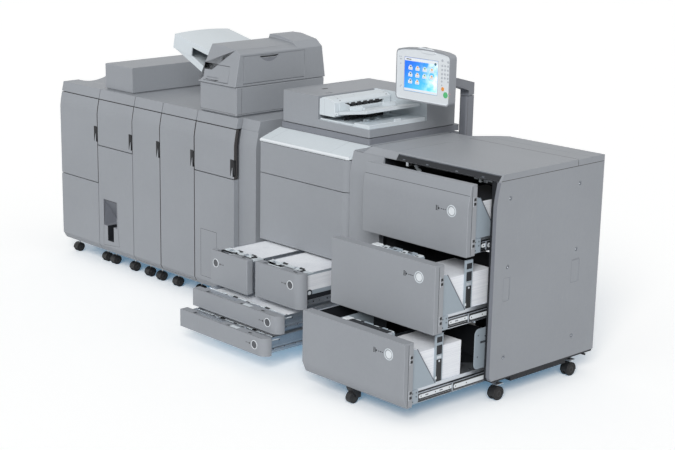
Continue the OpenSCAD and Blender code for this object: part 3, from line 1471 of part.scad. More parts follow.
arm_run = sqrt(pow(panel_cx - post_cx, 2) + pow(post_cy - tilt_y, 2));
arm_low = post_top_z + seam / 2;
tilt_boss_r = 19;
module panel_arm() {
    rise = tilt_z + tilt_boss_r - arm_low - arm_h;
    color(dark_grey) difference() {
        union() {
            translate([post_cx, post_cy, 0]) rotate([0, 0, arm_turn]) {
                translate([-arm_w / 2, 0, arm_low]) across(arm_w) polygon([
                    [post_d / 2, 0], [post_d / 2, arm_h], [-arm_run * 0.42, arm_h + rise * 0.6],
                    [-arm_run, arm_h + rise], [-arm_run, arm_h + rise - 2 * tilt_boss_r],
                    [-arm_run * 0.42, arm_h * 0.4 + rise * 0.55], [-post_d / 2, arm_h * 0.45],
                    [-post_d / 2, 0]]);
            }
            translate([panel_cx - arm_w / 2, tilt_y, tilt_z]) rod_x(tilt_boss_r, arm_w);
        }
        translate([post_cx, post_cy, arm_low - over])
            cylinder(r = swivel_r + fit, h = arm_h * 0.85, $fn = fine);
        translate([panel_cx - arm_w, tilt_y, tilt_z]) rod_x(tilt_r + fit, 2 * arm_w);
        // Room for the ears beside the boss and the panel's back behind it
        span([panel_cx - arm_w * 2, panel_y, tilt_z - arm_h * 2],
             [panel_cx + arm_w * 2, tilt_y - tilt_boss_r, tilt_z + arm_h * 2]);
        for (side = [-1, 1])
            translate([panel_cx + side * arm_w - arm_w / 2, tilt_y - tilt_boss_r - over, tilt_z - arm_h])
                cube([arm_w, 2 * tilt_boss_r, 2 * arm_h]);
    }
}
panel_r = 22;
bezel = 6;
face_in = 3;
// Panel outline with an arched top: w wide, h high at the sides, r the corner radius
function arched(w, h, r, rise) = concat(
    quarter(r, r, r, 180), quarter(w - r, r, r, 270),
    [for (i = [0 : arc_steps]) [w - r + r * cos(75 * i / arc_steps), h - r + r * sin(75 * i / arc_steps)]],
    [for (s = [0.12, 0.25, 0.38, 0.5, 0.62, 0.75, 0.88]) [w * (1 - s), h + rise * (1 - pow(2 * s - 1, 2))]],
    [for (i = [0 : arc_steps]) [r - r * cos(75 - 75 * i / arc_steps),
        h - r + r * sin(75 - 75 * i / arc_steps)]]);
screen_x = panel_cx - panel_w / 2 + panel_w * 0.155;
screen_z = panel_z + panel_h * 0.19;
key_r = 13;
key_x = panel_cx + panel_w * 0.423;
key_z = panel_z + panel_h * 0.22;
module panel_housing() {
    color(grey) difference() {
        union() {
            translate([panel_cx - panel_w / 2, panel_y, panel_z]) difference() {
                back(panel_t) polygon(arched(panel_w, panel_h, panel_r, panel_arch));
                // Sunk face inside the bezel
                translate([bezel, -over, bezel]) back(face_in + over)
                    polygon(arched(panel_w - 2 * bezel, panel_h - 2 * bezel, panel_r - bezel, panel_arch));
            }
            // Status lamp on the arch
            translate([panel_cx - panel_w * 0.12, panel_y + face_in, panel_z + panel_h])
                back(panel_t / 2) polygon([for (i = [0 : arc_steps]) [panel_w * 0.1 * (1 - cos(180 * i /
                    arc_steps)),
                    panel_arch * 0.7 + panel_arch * 0.8 * sin(180 * i / arc_steps)]]);
            // Ears of the tilt hinge
            for (x = [panel_cx - arm_w / 2 - 3 * skin - play, panel_cx + arm_w / 2 + play])
                translate([x, 0, 0]) {
                    translate([0, tilt_y, tilt_z]) rod_x(tilt_boss_r * 0.8, 3 * skin);
                    span([0, panel_y + panel_t - over, tilt_z - tilt_boss_r * 0.8],
                         [3 * skin, tilt_y, tilt_z + tilt_boss_r * 0.8]);
                }
            translate([panel_cx - arm_w / 2 - 2 * skin, tilt_y, tilt_z]) rod_x(tilt_r, arm_w + 4 * skin);
        }
        // Seats of the screen and the start key
        span([screen_x - play, panel_y - over, screen_z - play],
             [screen_x + screen_w + play, panel_y + face_in * 3, screen_z + screen_h + play]);
        translate([key_x, panel_y, key_z]) rod_y(key_r + fit, panel_t / 2);
        translate([key_x, panel_y + face_in * 3, key_z]) rod_y(key_r + face_in, panel_t / 3);
        // Hollow of the housing
        translate([panel_cx - panel_w / 2 + bezel, panel_y + face_in * 4, panel_z + bezel])
            cube([panel_w * 0.75, panel_t - face_in * 5, panel_h - 2 * bezel]);
    }
}
module panel_screen() {
    color([0.2, 0.6, 0.95])
        span([screen_x, panel_y + face_in, screen_z],
             [screen_x + screen_w, panel_y + face_in * 3 - play / 2, screen_z + screen_h]);
}
module start_key() {
    color([0.45, 0.85, 0.65]) translate([key_x, panel_y + face_in * 0.4, key_z]) {
        rod_y(key_r, face_in * 3);
        translate([0, face_in * 2.6 + button_seat, 0]) rod_y(key_r + face_in / 2, face_in * 0.7);
    }
}

placed() casters();
placed() deck_frame();
placed() deck_covers();
placed() deck_top_front();
placed() deck_top_tray();
placed() deck_top_button();
placed() deck_top_slides();
placed() deck_middle_front();
placed() deck_middle_tray();
placed() deck_middle_button();
placed() deck_middle_slides();
placed() deck_bottom_front();
placed() deck_bottom_tray();
placed() deck_bottom_button();
placed() deck_bottom_slides();
placed() engine_frame();
placed() engine_covers();
placed() engine_upper_door();
placed() engine_lower_door();
placed() work_shelf();
placed() imaging_unit();
placed() left_deck_front();
placed() left_deck_tray();
placed() left_deck_button();
placed() right_deck_front();
placed() right_deck_tray();
placed() right_deck_button();
placed() upper_cassette_front();
placed() upper_cassette_tray();
placed() upper_cassette_button();
placed() lower_cassette_front();
placed() lower_cassette_tray();
placed() lower_cassette_button();
placed() scanner_base();
placed() platen_glass();
placed() feeder_housing();
placed() feeder_unit();
placed() document_tray();
placed() feeder_cover();
placed() panel_column();
placed() panel_arm();
placed() panel_housing();
placed() panel_screen();
placed() start_key();
placed() stacker_cabinet();
placed() stacker_door();
placed() folding_cabinet();
placed() folding_door();
placed() punch_cabinet();
placed() punch_door();
placed() binding_cabinet();
placed() binding_door();
placed() inserter_cabinet();
placed() inserter_door();
placed() docking_cabinet();
placed() relay_box();
placed() inserter_housing();
placed() inserter_side_cover();
placed() inserter_flap();
placed() inserter_trays();
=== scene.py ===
"""Looks of the docked printer line: rounded covers, drawer insides, casters and finishes.

They go around the line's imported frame.
Lengths in the making of pieces are millimetres from the stacker's front left corner on the floor, and
place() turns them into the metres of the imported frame.
"""

import json
import math

import bmesh
import bpy
import numpy as np
from mathutils import Matrix, Vector
from mathutils.bvhtree import BVHTree


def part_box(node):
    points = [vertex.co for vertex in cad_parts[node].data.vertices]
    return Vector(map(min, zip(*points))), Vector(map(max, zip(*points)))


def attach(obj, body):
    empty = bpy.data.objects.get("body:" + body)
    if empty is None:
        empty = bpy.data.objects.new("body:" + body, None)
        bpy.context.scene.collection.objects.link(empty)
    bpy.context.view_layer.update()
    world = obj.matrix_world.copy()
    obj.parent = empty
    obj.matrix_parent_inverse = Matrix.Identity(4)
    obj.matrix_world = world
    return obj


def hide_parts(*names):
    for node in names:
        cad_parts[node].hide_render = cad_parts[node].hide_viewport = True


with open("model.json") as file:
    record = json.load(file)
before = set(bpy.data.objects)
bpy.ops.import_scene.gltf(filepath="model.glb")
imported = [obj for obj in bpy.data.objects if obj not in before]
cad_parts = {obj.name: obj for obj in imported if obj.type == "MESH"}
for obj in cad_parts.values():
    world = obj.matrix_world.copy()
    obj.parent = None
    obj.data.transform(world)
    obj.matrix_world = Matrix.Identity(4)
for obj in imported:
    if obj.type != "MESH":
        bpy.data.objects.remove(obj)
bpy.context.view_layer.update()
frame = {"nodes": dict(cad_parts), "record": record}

MM = 0.001
CORNER = np.array([1687.0, 124.0, 0.0])
RAY_START = 10.0  # metres, outside everything
WELD = 2e-5  # metres
FLAT_BELOW = math.radians(0.6)  # between triangles that are one face
ROUND_ABOVE = math.radians(30)  # between faces whose edge is rounded
SHORT_EDGE = 11.0  # millimetres; shorter edges stay as they are
SMOOTH_BELOW = 35  # degrees
PATCH_DEPTH = 0.4  # how far a patch reaches into its node
SHARPEST_MITRE = 0.35  # smallest divisor at a sharp corner


def place(points):
    """Turns the line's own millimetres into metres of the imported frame: (point - corner) / 1000."""
    return (np.asarray(points, float) - CORNER) * MM


def cad(node_name):
    """Gives a node's lowest and highest corners in the line's own millimetres."""
    low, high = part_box(node_name)
    return np.array(low) / MM + CORNER, np.array(high) / MM + CORNER


SURFACES = {}


def touch(name, axis, side, a, b):
    """Where a line along an axis, from its low (-1) or high (1) side, first meets a node, in millimetres."""
    if name not in SURFACES:
        work = bmesh.new()
        work.from_mesh(frame["nodes"][name].data)
        SURFACES[name] = BVHTree.FromBMesh(work)
        work.free()
    start = place(np.insert(np.array([a, b], float), axis, 0.0))
    start[axis] = side * RAY_START
    ahead = np.zeros(3)
    ahead[axis] = -side
    met = SURFACES[name].ray_cast(Vector(start), Vector(ahead))[0]
    return None if met is None else met[axis] / MM + CORNER[axis]


# Node builder


def feed(tree, socket, value):
    """Links another node's socket into an input, or sets the input to a plain value."""
    if isinstance(value, bpy.types.NodeSocket):
        tree.links.new(value, socket)
    else:
        socket.default_value = value


def node(tree, kind, inputs=None, **settings):
    """Adds a shader node, sets its options, and sets or links its inputs."""
    made = tree.nodes.new(kind)
    for key, value in settings.items():
        setattr(made, key, value)
    for key, value in (inputs or {}).items():
        feed(tree, made.inputs[key], value)
    return made


def noise(tree, where, scale, detail=3.0, stretch=(1, 1, 1)):
    """Noise over the object's metres times the given factor for each axis, as a value around a half."""
    turned = node(tree, "ShaderNodeMapping", {"Vector": where, "Scale": stretch}).outputs[0]
    return node(tree, "ShaderNodeTexNoise", {"Vector": turned, "Scale": scale, "Detail": detail}).outputs[0]


def ranged(tree, value, low, high, to_low=0.0, to_high=1.0):
    """Maps a value from one range to another, held at the ends."""
    limits = {1: low, 2: high, 3: to_low, 4: to_high}
    return node(tree, "ShaderNodeMapRange", {"Value": value, **limits}).outputs[0]


def sums(tree, how, *values):
    """Takes values together one after the other with one kind of arithmetic."""
    total = values[0]
    for value in values[1:]:
        total = node(tree, "ShaderNodeMath", {0: total, 1: value}, operation=how).outputs[0]
    return total


def tint(tree, share, a, b, how="MIX"):
    """Mixes two colours by a share."""
    inputs = {"Factor": share, 6: a, 7: b}
    return node(tree, "ShaderNodeMix", inputs, data_type="RGBA", blend_type=how).outputs[2]


def here(tree):
    """Place on the object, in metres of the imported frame."""
    return node(tree, "ShaderNodeTexCoord").outputs["Object"]


# Effects: node groups that take a colour and numbers and give a colour and numbers


def effect(name, colour, numbers, *results):
    """Starts an effect and gives its tree, its inputs and a function that links one of its results."""
    tree = bpy.data.node_groups.new(name, "ShaderNodeTree")

    def socket(label, way):
        """Adds a named socket to the group's one side."""
        kind = "NodeSocketColor" if label == "Colour" else "NodeSocketFloat"
        return tree.interface.new_socket(label, in_out=way, socket_type=kind)

    for label, value in {"Colour": (*colour, 1), **numbers}.items():
        socket(label, "INPUT").default_value = value
    for label in ("Colour", *results):
        socket(label, "OUTPUT")
    given = node(tree, "NodeGroupInput").outputs
    out = node(tree, "NodeGroupOutput").inputs
    return tree, given, lambda label, value: tree.links.new(value, out[label])


def grain_effect():
    """Moulded grain: fine noise as height, and the colour times 1 + 4 * mottling * (broad noise - 0.5)."""
    tree, given, give = effect("moulded_grain", (0.5, 0.5, 0.5), {"Scale": 800.0, "Mottling": 0.05}, "Height")
    where = here(tree)
    inputs = {"Vector": where, "Scale": given["Scale"], "Detail": 2.0}
    fine = node(tree, "ShaderNodeTexNoise", inputs).outputs[0]
    broad = sums(tree, "MULTIPLY", noise(tree, where, 2.6), 0.75)
    both = sums(tree, "ADD", broad, sums(tree, "MULTIPLY", noise(tree, where, 60.0, 2.0), 0.25))
    swing = sums(tree, "MULTIPLY", sums(tree, "SUBTRACT", both, 0.5), given["Mottling"], 4.0)
    bright = sums(tree, "ADD", swing, 1.0)
    grey = node(tree, "ShaderNodeCombineColor", {0: bright, 1: bright, 2: bright}).outputs[0]
    give("Colour", tint(tree, 1.0, given["Colour"], grey, "MULTIPLY"))
    give("Height", fine)
    return tree


def handling_effect():
    """Handling marks: thin rubbed streaks where two stretched noises are both high, lighter and rougher."""
    tree, given, give = effect("handling_marks", (0.5, 0.5, 0.5), {"Amount": 0.3}, "Mask")
    where = here(tree)
    streaks = ranged(tree, noise(tree, where, 14.0, 4.0, (9, 9, 1)), 0.56, 0.74)
    patches = ranged(tree, noise(tree, where, 4.0, 2.0), 0.5, 0.66)
    mask = sums(tree, "MULTIPLY", streaks, patches, given["Amount"])
    give("Colour", tint(tree, mask, given["Colour"], (0.50, 0.51, 0.53, 1)))
    give("Mask", mask)
    return tree


def dust_effect():
    """Floor dust: a brown-grey film of strength 0.5 - height / reach, held between 0 and 1, times noise."""
    tree, given, give = effect("floor_dust", (0.5, 0.5, 0.5), {"Amount": 0.3, "Reach": 0.22}, "Mask")
    where = here(tree)
    height = node(tree, "ShaderNodeSeparateXYZ", {0: where}).outputs[2]
    shares = {0: sums(tree, "DIVIDE", height, given["Reach"]), 1: 0.5}
    risen = node(tree, "ShaderNodeMath", shares, operation="ADD", use_clamp=True).outputs[0]
    low = node(tree, "ShaderNodeClamp", {0: sums(tree, "SUBTRACT", 1.0, risen)}).outputs[0]
    broken = ranged(tree, noise(tree, where, 9.0, 4.0), 0.35, 0.7)
    mask = sums(tree, "MULTIPLY", low, broken, given["Amount"])
    give("Colour", tint(tree, mask, given["Colour"], (0.20, 0.19, 0.175, 1)))
    give("Mask", mask)
    return tree


def brushed_effect():
    """Rolled steel: long fine lines as height and roughness, and cloudy spangles in the colour."""
    tree, given, give = effect("rolled_steel", (0.6, 0.62, 0.64), {"Depth": 0.5}, "Height", "Roughness")
    where = here(tree)
    lines = noise(tree, where, 40.0, 3.0, (1, 1, 30))
    share = ranged(tree, noise(tree, where, 22.0, 4.0), 0.4, 0.7, 0.0, 0.25)
    give("Colour", tint(tree, share, given["Colour"], (0.42, 0.44, 0.47, 1)))
    give("Height", sums(tree, "MULTIPLY", lines, given["Depth"]))
    give("Roughness", ranged(tree, lines, 0.3, 0.7, 0.26, 0.42))
    return tree


def layers_effect():
    """Paper layers: level lines up the stack, some a little darker, as colour and height."""
    tree, given, give = effect("paper_layers", (0.8, 0.82, 0.85), {"Lines": 260.0}, "Height")
    where = here(tree)
    lines = noise(tree, where, 6.0, 4.0, (0.6, 0.6, 60))
    packs = noise(tree, where, given["Lines"], 0.0, (0.4, 0.4, 22))
    dark, darker = ranged(tree, lines, 0.45, 0.72, 0.0, 0.32), ranged(tree, packs, 0.5, 0.75, 0.0, 0.1)
    share = sums(tree, "ADD", dark, darker)
    give("Colour", tint(tree, share, given["Colour"], (0.42, 0.46, 0.55, 1)))
    give("Height", lines)
    return tree


EFFECTS = {made.name: made for made in
           (grain_effect(), handling_effect(), dust_effect(), brushed_effect(), layers_effect())}

# Materials


def use(tree, name, **values):
    """Places an effect in a material with its own values."""
    return node(tree, "ShaderNodeGroup", values, node_tree=EFFECTS[name]).outputs


def new_material(name, **constants):
    """Starts a material with plain values on its shader, and gives it, its tree and the shader's inputs."""
    made = bpy.data.materials.new(name)
    made.use_nodes = True
    tree = made.node_tree
    shader = tree.nodes["Principled BSDF"].inputs
    for key, value in constants.items():
        shader[key.replace("_", " ")].default_value = value
    return made, tree, shader


def bump(tree, height, strength, distance):
    """A bump node on a height."""
    inputs = {"Height": height, "Strength": strength, "Distance": distance}
    return node(tree, "ShaderNodeBump", inputs).outputs[0]


def moulded(name, colour, rough, scale=700.0, depth=0.18, marks=0.08, dust=0.35):
    """Moulded plastic or textured paint: grain, handling marks and floor dust over one colour.

    Roughness is the given one +-0.05 by the grain, plus half the dust, plus 0.4 of the marks.
    """
    made, tree, shader = new_material(name, Specular_IOR_Level=0.4)
    grain = use(tree, "moulded_grain", Colour=(*colour, 1), Scale=scale, Mottling=0.05)
    rubbed = use(tree, "handling_marks", Colour=grain["Colour"], Amount=marks)
    dusty = use(tree, "floor_dust", Colour=rubbed["Colour"], Amount=dust)
    tree.links.new(dusty["Colour"], shader["Base Color"])
    spread = ranged(tree, grain["Height"], 0.3, 0.7, rough - 0.05, rough + 0.05)
    rougher = (sums(tree, "MULTIPLY", dusty["Mask"], 0.5), sums(tree, "MULTIPLY", rubbed["Mask"], 0.4))
    tree.links.new(sums(tree, "ADD", spread, *rougher), shader["Roughness"])
    tree.links.new(bump(tree, grain["Height"], depth, 0.0004), shader["Normal"])
    return made


def key_colour(name, colour, rough=0.4, marks=0.05):
    """Small keys, marks and seams: moulded, with no dust."""
    return moulded(name, colour, rough, marks=marks, dust=0.0)


def steel(name, colour, depth=0.5, metal=0.9):
    """Rolled or plated steel with fine lines and cloudy spangles."""
    made, tree, shader = new_material(name, Metallic=metal)
    rolled = use(tree, "rolled_steel", Colour=(*colour, 1), Depth=depth)
    rubbed = use(tree, "handling_marks", Colour=rolled["Colour"], Amount=0.2)
    tree.links.new(rubbed["Colour"], shader["Base Color"])
    tree.links.new(rolled["Roughness"], shader["Roughness"])
    tree.links.new(bump(tree, rolled["Height"], 0.15, 0.0003), shader["Normal"])
    return made


def stacked_paper(name, colour):
    """Cut sheets seen from the side: level lines in colour and bump."""
    made, tree, shader = new_material(name, Roughness=0.85, Specular_IOR_Level=0.2)
    layers = use(tree, "paper_layers", Colour=(*colour, 1))
    grain = use(tree, "moulded_grain", Colour=layers["Colour"], Scale=1500.0, Mottling=0.02)
    tree.links.new(grain["Colour"], shader["Base Color"])
    tree.links.new(bump(tree, layers["Height"], 0.25, 0.0006), shader["Normal"])
    return made


def clear_glass(name, colour):
    """Dark glass: a deep colour with a smooth clear coat and faint wiping marks."""
    made, tree, shader = new_material(name, Coat_Weight=0.6, Coat_Roughness=0.04, Specular_IOR_Level=0.6)
    rubbed = use(tree, "handling_marks", Colour=(*colour, 1), Amount=0.12)
    tree.links.new(rubbed["Colour"], shader["Base Color"])
    tree.links.new(ranged(tree, rubbed["Mask"], 0.0, 0.2, 0.06, 0.25), shader["Roughness"])
    return made


GREY = moulded("grey_moulded_cover", (0.294, 0.312, 0.338), 0.5)
SHEET = moulded("grey_painted_sheet", (0.32, 0.336, 0.36), 0.45, scale=1400.0, depth=0.12)
# Deep grey: dark covers, rings and seams, and painted shade on the deck side wall's front flange, in the
# folding pocket and in a finger grip
DEEP = moulded("deep_grey_and_painted_shade", (0.20, 0.212, 0.24), 0.5)
BLUE_SHEET = moulded("pale_blue_sheet", (0.34, 0.40, 0.45), 0.4, scale=1400.0, depth=0.12)
# Near black: dark marks, grooves and parts, and painted shade on inner faces, in openings, recesses and
# compartments, and on paper under the lid
NEAR_BLACK_AND_SHADE = moulded("near_black_and_painted_shade", (0.012, 0.014, 0.018), 0.6, marks=0.05, dust=0.1)
PALE = moulded("pale_moulded_part", (0.63, 0.685, 0.72), 0.45, marks=0.1, dust=0.15)
# White: white parts, and painted highlights on the slide members and on the work shelf's front lip
WHITE = moulded("white_part_and_painted_highlight", (0.72, 0.76, 0.79), 0.45, marks=0.1, dust=0.15)
# Black: black parts, and painted shade in finger recesses, a lever recess, the slides' channels and the gap
# at the deck's rear
BLACK = moulded("black_part_and_painted_shade", (0.012, 0.013, 0.015), 0.5, marks=0.1, dust=0.25)
RUBBER = moulded("black_rubber", (0.010, 0.010, 0.011), 0.7, scale=1200.0, depth=0.4, marks=0.05, dust=0.12)
STEEL = steel("plated_steel", (0.62, 0.66, 0.71))
BRIGHT = steel("bright_steel", (0.80, 0.83, 0.86), 0.3)
ZINC = steel("zinc_slide", (0.42, 0.46, 0.51), 0.3, 0.5)
DARK_STEEL = steel("dark_painted_steel", (0.10, 0.115, 0.14), 0.3, 0.4)
PAPER = stacked_paper("stacked_paper", (0.88, 0.905, 0.94))
PLATEN = clear_glass("platen_glass", (0.05, 0.07, 0.075))
DRUM = clear_glass("drum_blue_coating", (0.03, 0.16, 0.20))
ORANGE = key_colour("orange_key", (0.80, 0.30, 0.05))
GREEN = key_colour("green_key", (0.10, 0.50, 0.20))
PINK = key_colour("pink_key", (0.75, 0.30, 0.32))
# Dark lines for seams and marks, and painted shade on door edges and cabinet sides
DARK_LINES_AND_SHADE = key_colour("dark_lines_and_painted_shade", (0.055, 0.052, 0.052), 0.7, 0.0)
BUTTON_GREY = key_colour("dark_grey_button", (0.085, 0.09, 0.10))

# Mesh builder


def box_topology():
    """Faces of a block with cut edges: vertex 3 * corner + axis reaches fully along that axis."""
    signs = np.array([[x, y, z] for z in (-1, 1) for y in (-1, 1) for x in (-1, 1)])
    index = {tuple(sign): i for i, sign in enumerate(signs)}

    def corner(axis, s, sb, sc):
        """First vertex at the corner with these signs along an axis and the two after it."""
        spot = [0, 0, 0]
        spot[axis], spot[(axis + 1) % 3], spot[(axis + 2) % 3] = s, sb, sc
        return 3 * index[tuple(spot)]

    faces = []
    for axis in range(3):
        b, c = (axis + 1) % 3, (axis + 2) % 3
        for s in (-1, 1):
            ring = [corner(axis, s, sb, sc) + axis for sb, sc in ((-1, -1), (1, -1), (1, 1), (-1, 1))]
            faces.append(ring[::s])
        for sb in (-1, 1):
            for sc in (-1, 1):
                start, end = (corner(axis, s, sb, sc) for s in (-1, 1))
                faces.append([start + b, end + b, end + c, start + c])
    return signs, faces + [[3 * i, 3 * i + 1, 3 * i + 2] for i in range(8)]


BOX_SIGNS, BOX_FACES = box_topology()


def inset(outline, by):
    """Moves each side of a closed outline inwards by a distance and gives the new corners, mitred.

    A corner moves by (n + m) * by / (1 + n.m), with n and m the inward normals of its two sides.
    """
    p = np.asarray(outline, float)
    area = 0.5 * np.sum(p[:, 0] * np.roll(p[:, 1], -1) - np.roll(p[:, 0], -1) * p[:, 1])
    ahead = np.roll(p, -1, 0) - p
    ahead /= np.linalg.norm(ahead, axis=1)[:, None] + 1e-12
    normal = np.stack([-ahead[:, 1], ahead[:, 0]], 1) * np.sign(area)
    before = np.roll(normal, 1, 0)
    share = np.maximum(1 + np.sum(normal * before, 1), SHARPEST_MITRE)
    return p + (normal + before) / share[:, None] * by


def arc(cx, cy, r, start, end, steps=6):
    """Points of a circle's arc from one angle to another, in degrees: centre + r * (cos t, sin t)."""
    t = np.radians(np.linspace(start, end, steps + 1))
    return np.stack([cx + r * np.cos(t), cy + r * np.sin(t)], 1)


def oblong(x0, y0, x1, y1):
    """Outline of a rectangle."""
    return [(x0, y0), (x1, y0), (x1, y1), (x0, y1)]


def rounded(x0, y0, x1, y1, r, steps=5):
    """Outline of a rectangle with rounded corners."""
    return np.concatenate([arc(x1 - r, y0 + r, r, -90, 0, steps), arc(x1 - r, y1 - r, r, 0, 90, steps),
                           arc(x0 + r, y1 - r, r, 90, 180, steps), arc(x0 + r, y0 + r, r, 180, 270, steps)])


def walls(n, rings):
    """Four-sided faces that join each ring of n corners to the next one."""
    return [[k * n + i, k * n + (i + 1) % n, (k + 1) * n + (i + 1) % n, (k + 1) * n + i]
            for k in range(rings - 1) for i in range(n)]


class Piece:
    """Gathers closed shapes, in the line's own millimetres, and makes them one mesh object."""

    def __init__(self, name, body, slot):
        """Starts with no shapes; kinds holds each face's place among the used materials."""
        self.name, self.body, self.slot = name, body, slot
        self.verts, self.faces, self.kinds, self.used, self.count = [], [], [], [], 0

    def add(self, verts, faces, material):
        """Adds one shape of one material."""
        if material not in self.used:
            self.used.append(material)
        self.verts.append(np.asarray(verts, float))
        self.faces += [[i + self.count for i in face] for face in faces]
        self.kinds += [self.used.index(material)] * len(faces)
        self.count += len(verts)

    def block(self, low, high, material, edge):
        """A block with its edges cut by a small width."""
        low, high = np.minimum(low, high).astype(float), np.maximum(low, high).astype(float)
        half, centre = (high - low) / 2, (high + low) / 2
        cut = min(edge, half.min() * 0.6)
        corners = BOX_SIGNS[:, None, :] * (half - cut * (1 - np.eye(3))[None, :, :])
        self.add(centre + corners.reshape(-1, 3), BOX_FACES, material)

    def turned(self, start, end, profile, material, sides=20, hollow=False):
        """A turned part: each (radius, length along the axis) makes a ring; a radius of 0 is a pole.

        A hollow one joins its last ring to its first, and so is a ring itself.
        """
        start, end = np.asarray(start, float), np.asarray(end, float)
        axis = (end - start) / np.linalg.norm(end - start)
        side = np.cross(axis, [0.0, 0.0, 1.0] if abs(axis[2]) < 0.9 else [1.0, 0.0, 0.0])
        side /= np.linalg.norm(side)
        other = np.cross(axis, side)
        t = np.linspace(0, 2 * math.pi, sides, endpoint=False)
        circle = np.cos(t)[:, None] * side + np.sin(t)[:, None] * other
        verts, rings, total = [], [], 0
        for radius, along in profile:
            ring = circle * radius if radius > 0 else np.zeros((1, 3))
            verts.append(start + axis * along + ring)
            rings.append(list(range(total, total + len(ring))))
            total += len(ring)
        faces = []
        for a, b in zip(rings, rings[1:] + (rings[:1] if hollow else [])):
            for i in range(sides):
                j = (i + 1) % sides
                ring = [a[i % len(a)], a[j % len(a)], b[j % len(b)], b[i % len(b)]]
                faces.append(list(dict.fromkeys(ring)))
        if not hollow:
            faces += [ends for ends in (rings[0][::-1], rings[-1]) if len(ends) > 1]
        self.add(np.concatenate(verts), faces, material)

    def knob(self, centre, axis, profile, material, sides=20, hollow=False):
        """A turned part whose line goes up one of the three axes from a centre."""
        self.turned(centre, np.asarray(centre, float) + np.eye(3)[axis], profile, material, sides, hollow)

    def rod(self, start, end, radius, material, sides=16, edge=0.6):
        """A round bar with cut ends."""
        length = float(np.linalg.norm(np.subtract(end, start)))
        cut = min(edge, radius * 0.4, length * 0.3)
        profile = [(radius - cut, 0), (radius, cut), (radius, length - cut), (radius - cut, length)]
        self.turned(start, end, profile, material, sides)

    def prism(self, outline, axis, low, high, material, edge):
        """An outline in the plane across an axis, carried from low to high, with its end rims cut."""
        outline = np.asarray(outline, float)
        cut = min(edge, (high - low) * 0.3)
        rim = inset(outline, cut)
        rings = [(rim, low), (outline, low + cut), (outline, high - cut), (rim, high)]
        verts = [np.insert(points, axis, level, axis=1) for points, level in rings]
        n = len(outline)
        ends = [list(range(n))[::-1], [n * (len(rings) - 1) + i for i in range(n)]]
        self.add(np.concatenate(verts), ends + walls(n, len(rings)), material)

    def patch(self, name, axis, side, outline, material, proud):
        """A thin plate on a node's surface: each corner of the outline is dropped onto it along an axis."""
        outline = np.asarray(outline, float)
        levels = [touch(name, axis, side, a, b) for a, b in outline]
        known = [level for level in levels if level is not None]
        levels = np.array([known[0] if level is None else level for level in levels])
        inner, outer = (np.insert(outline, axis, 0.0, axis=1) for _ in range(2))
        inner[:, axis], outer[:, axis] = levels - side * PATCH_DEPTH, levels + side * proud
        n = len(outline)
        ends = [list(range(n)), [n + i for i in range(n)]]
        self.add(np.concatenate([inner, outer]), ends + walls(n, 2), material)

    def seam(self, name, axis, side, path, width, material, proud):
        """A thin line along a path on a node's surface, one short plate for each stretch."""
        path = np.asarray(path, float)
        for start, end in zip(path, path[1:]):
            ahead = (end - start) / np.linalg.norm(end - start)
            across = np.array([-ahead[1], ahead[0]]) * width / 2
            stretch = [start - across, end - across, end + across, start + across]
            self.patch(name, axis, side, stretch, material, proud)

    def screw(self, centre, axis, side, r, material, rise=1.6):
        """A round screw head with a sunk middle, standing on a surface that faces along an axis."""
        end = np.asarray(centre, float) + side * np.eye(3)[axis]
        profile = [(r, -0.5), (r, rise * 0.6), (r * 0.8, rise), (r * 0.45, rise), (r * 0.35, rise * 0.4),
                   (0, rise * 0.4)]
        self.turned(centre, end, profile, material, 12)

    def done(self, *replaced):
        """Makes the object, turns its faces outwards, puts it on the body it rides on and hides the nodes it
        stands for.
        """
        mesh = bpy.data.meshes.new(self.name)
        mesh.from_pydata(place(np.concatenate(self.verts)), [], self.faces)
        for material in self.used:
            mesh.materials.append(material)
        mesh.polygons.foreach_set("material_index", self.kinds)
        work = bmesh.new()
        work.from_mesh(mesh)
        bmesh.ops.recalc_face_normals(work, faces=work.faces)
        work.to_mesh(mesh)
        work.free()
        mesh.shade_smooth()
        mesh.set_sharp_from_angle(angle=math.radians(SMOOTH_BELOW))
        register(bpy.data.objects.new(self.name, mesh), self.body, replaced)


def register(made, body, replaced=()):
    """Links an object, puts it on the body it rides on and hides the nodes it stands for."""
    bpy.context.scene.collection.objects.link(made)
    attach(made, body)
    if replaced:
        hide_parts(*replaced)
    return made


# Helpers for pieces that follow a node

BODY_OF = {n: body for body, names in frame["record"]["behaviour"]["bodies"].items() for n in names}
SLOT_OF = {part["node"]: part["material_slot"] for part in frame["record"]["subparts"]}


def piece_on(node_name, name):
    """Starts a piece that rides on a node's body and keeps the node's material slot name."""
    return Piece(name, BODY_OF[node_name], SLOT_OF[node_name])


def middle(node_name):
    """Gives the middle of a node's box in the line's own millimetres."""
    low, high = cad(node_name)
    return (low + high) / 2


def push_button(node_name, name, rings, material, sides=36, gap=0.2):
    """A button in a node's place: rings of (radius, depth), closed a gap before the node's back."""
    low, high = cad(node_name)
    x, _, z = (low + high) / 2
    depth = high[1] - low[1] - gap
    button = piece_on(node_name, name)
    button.knob((x, low[1], z), 1, rings + [(rings[-1][0], depth), (0, depth)], material, sides)
    button.done(node_name)


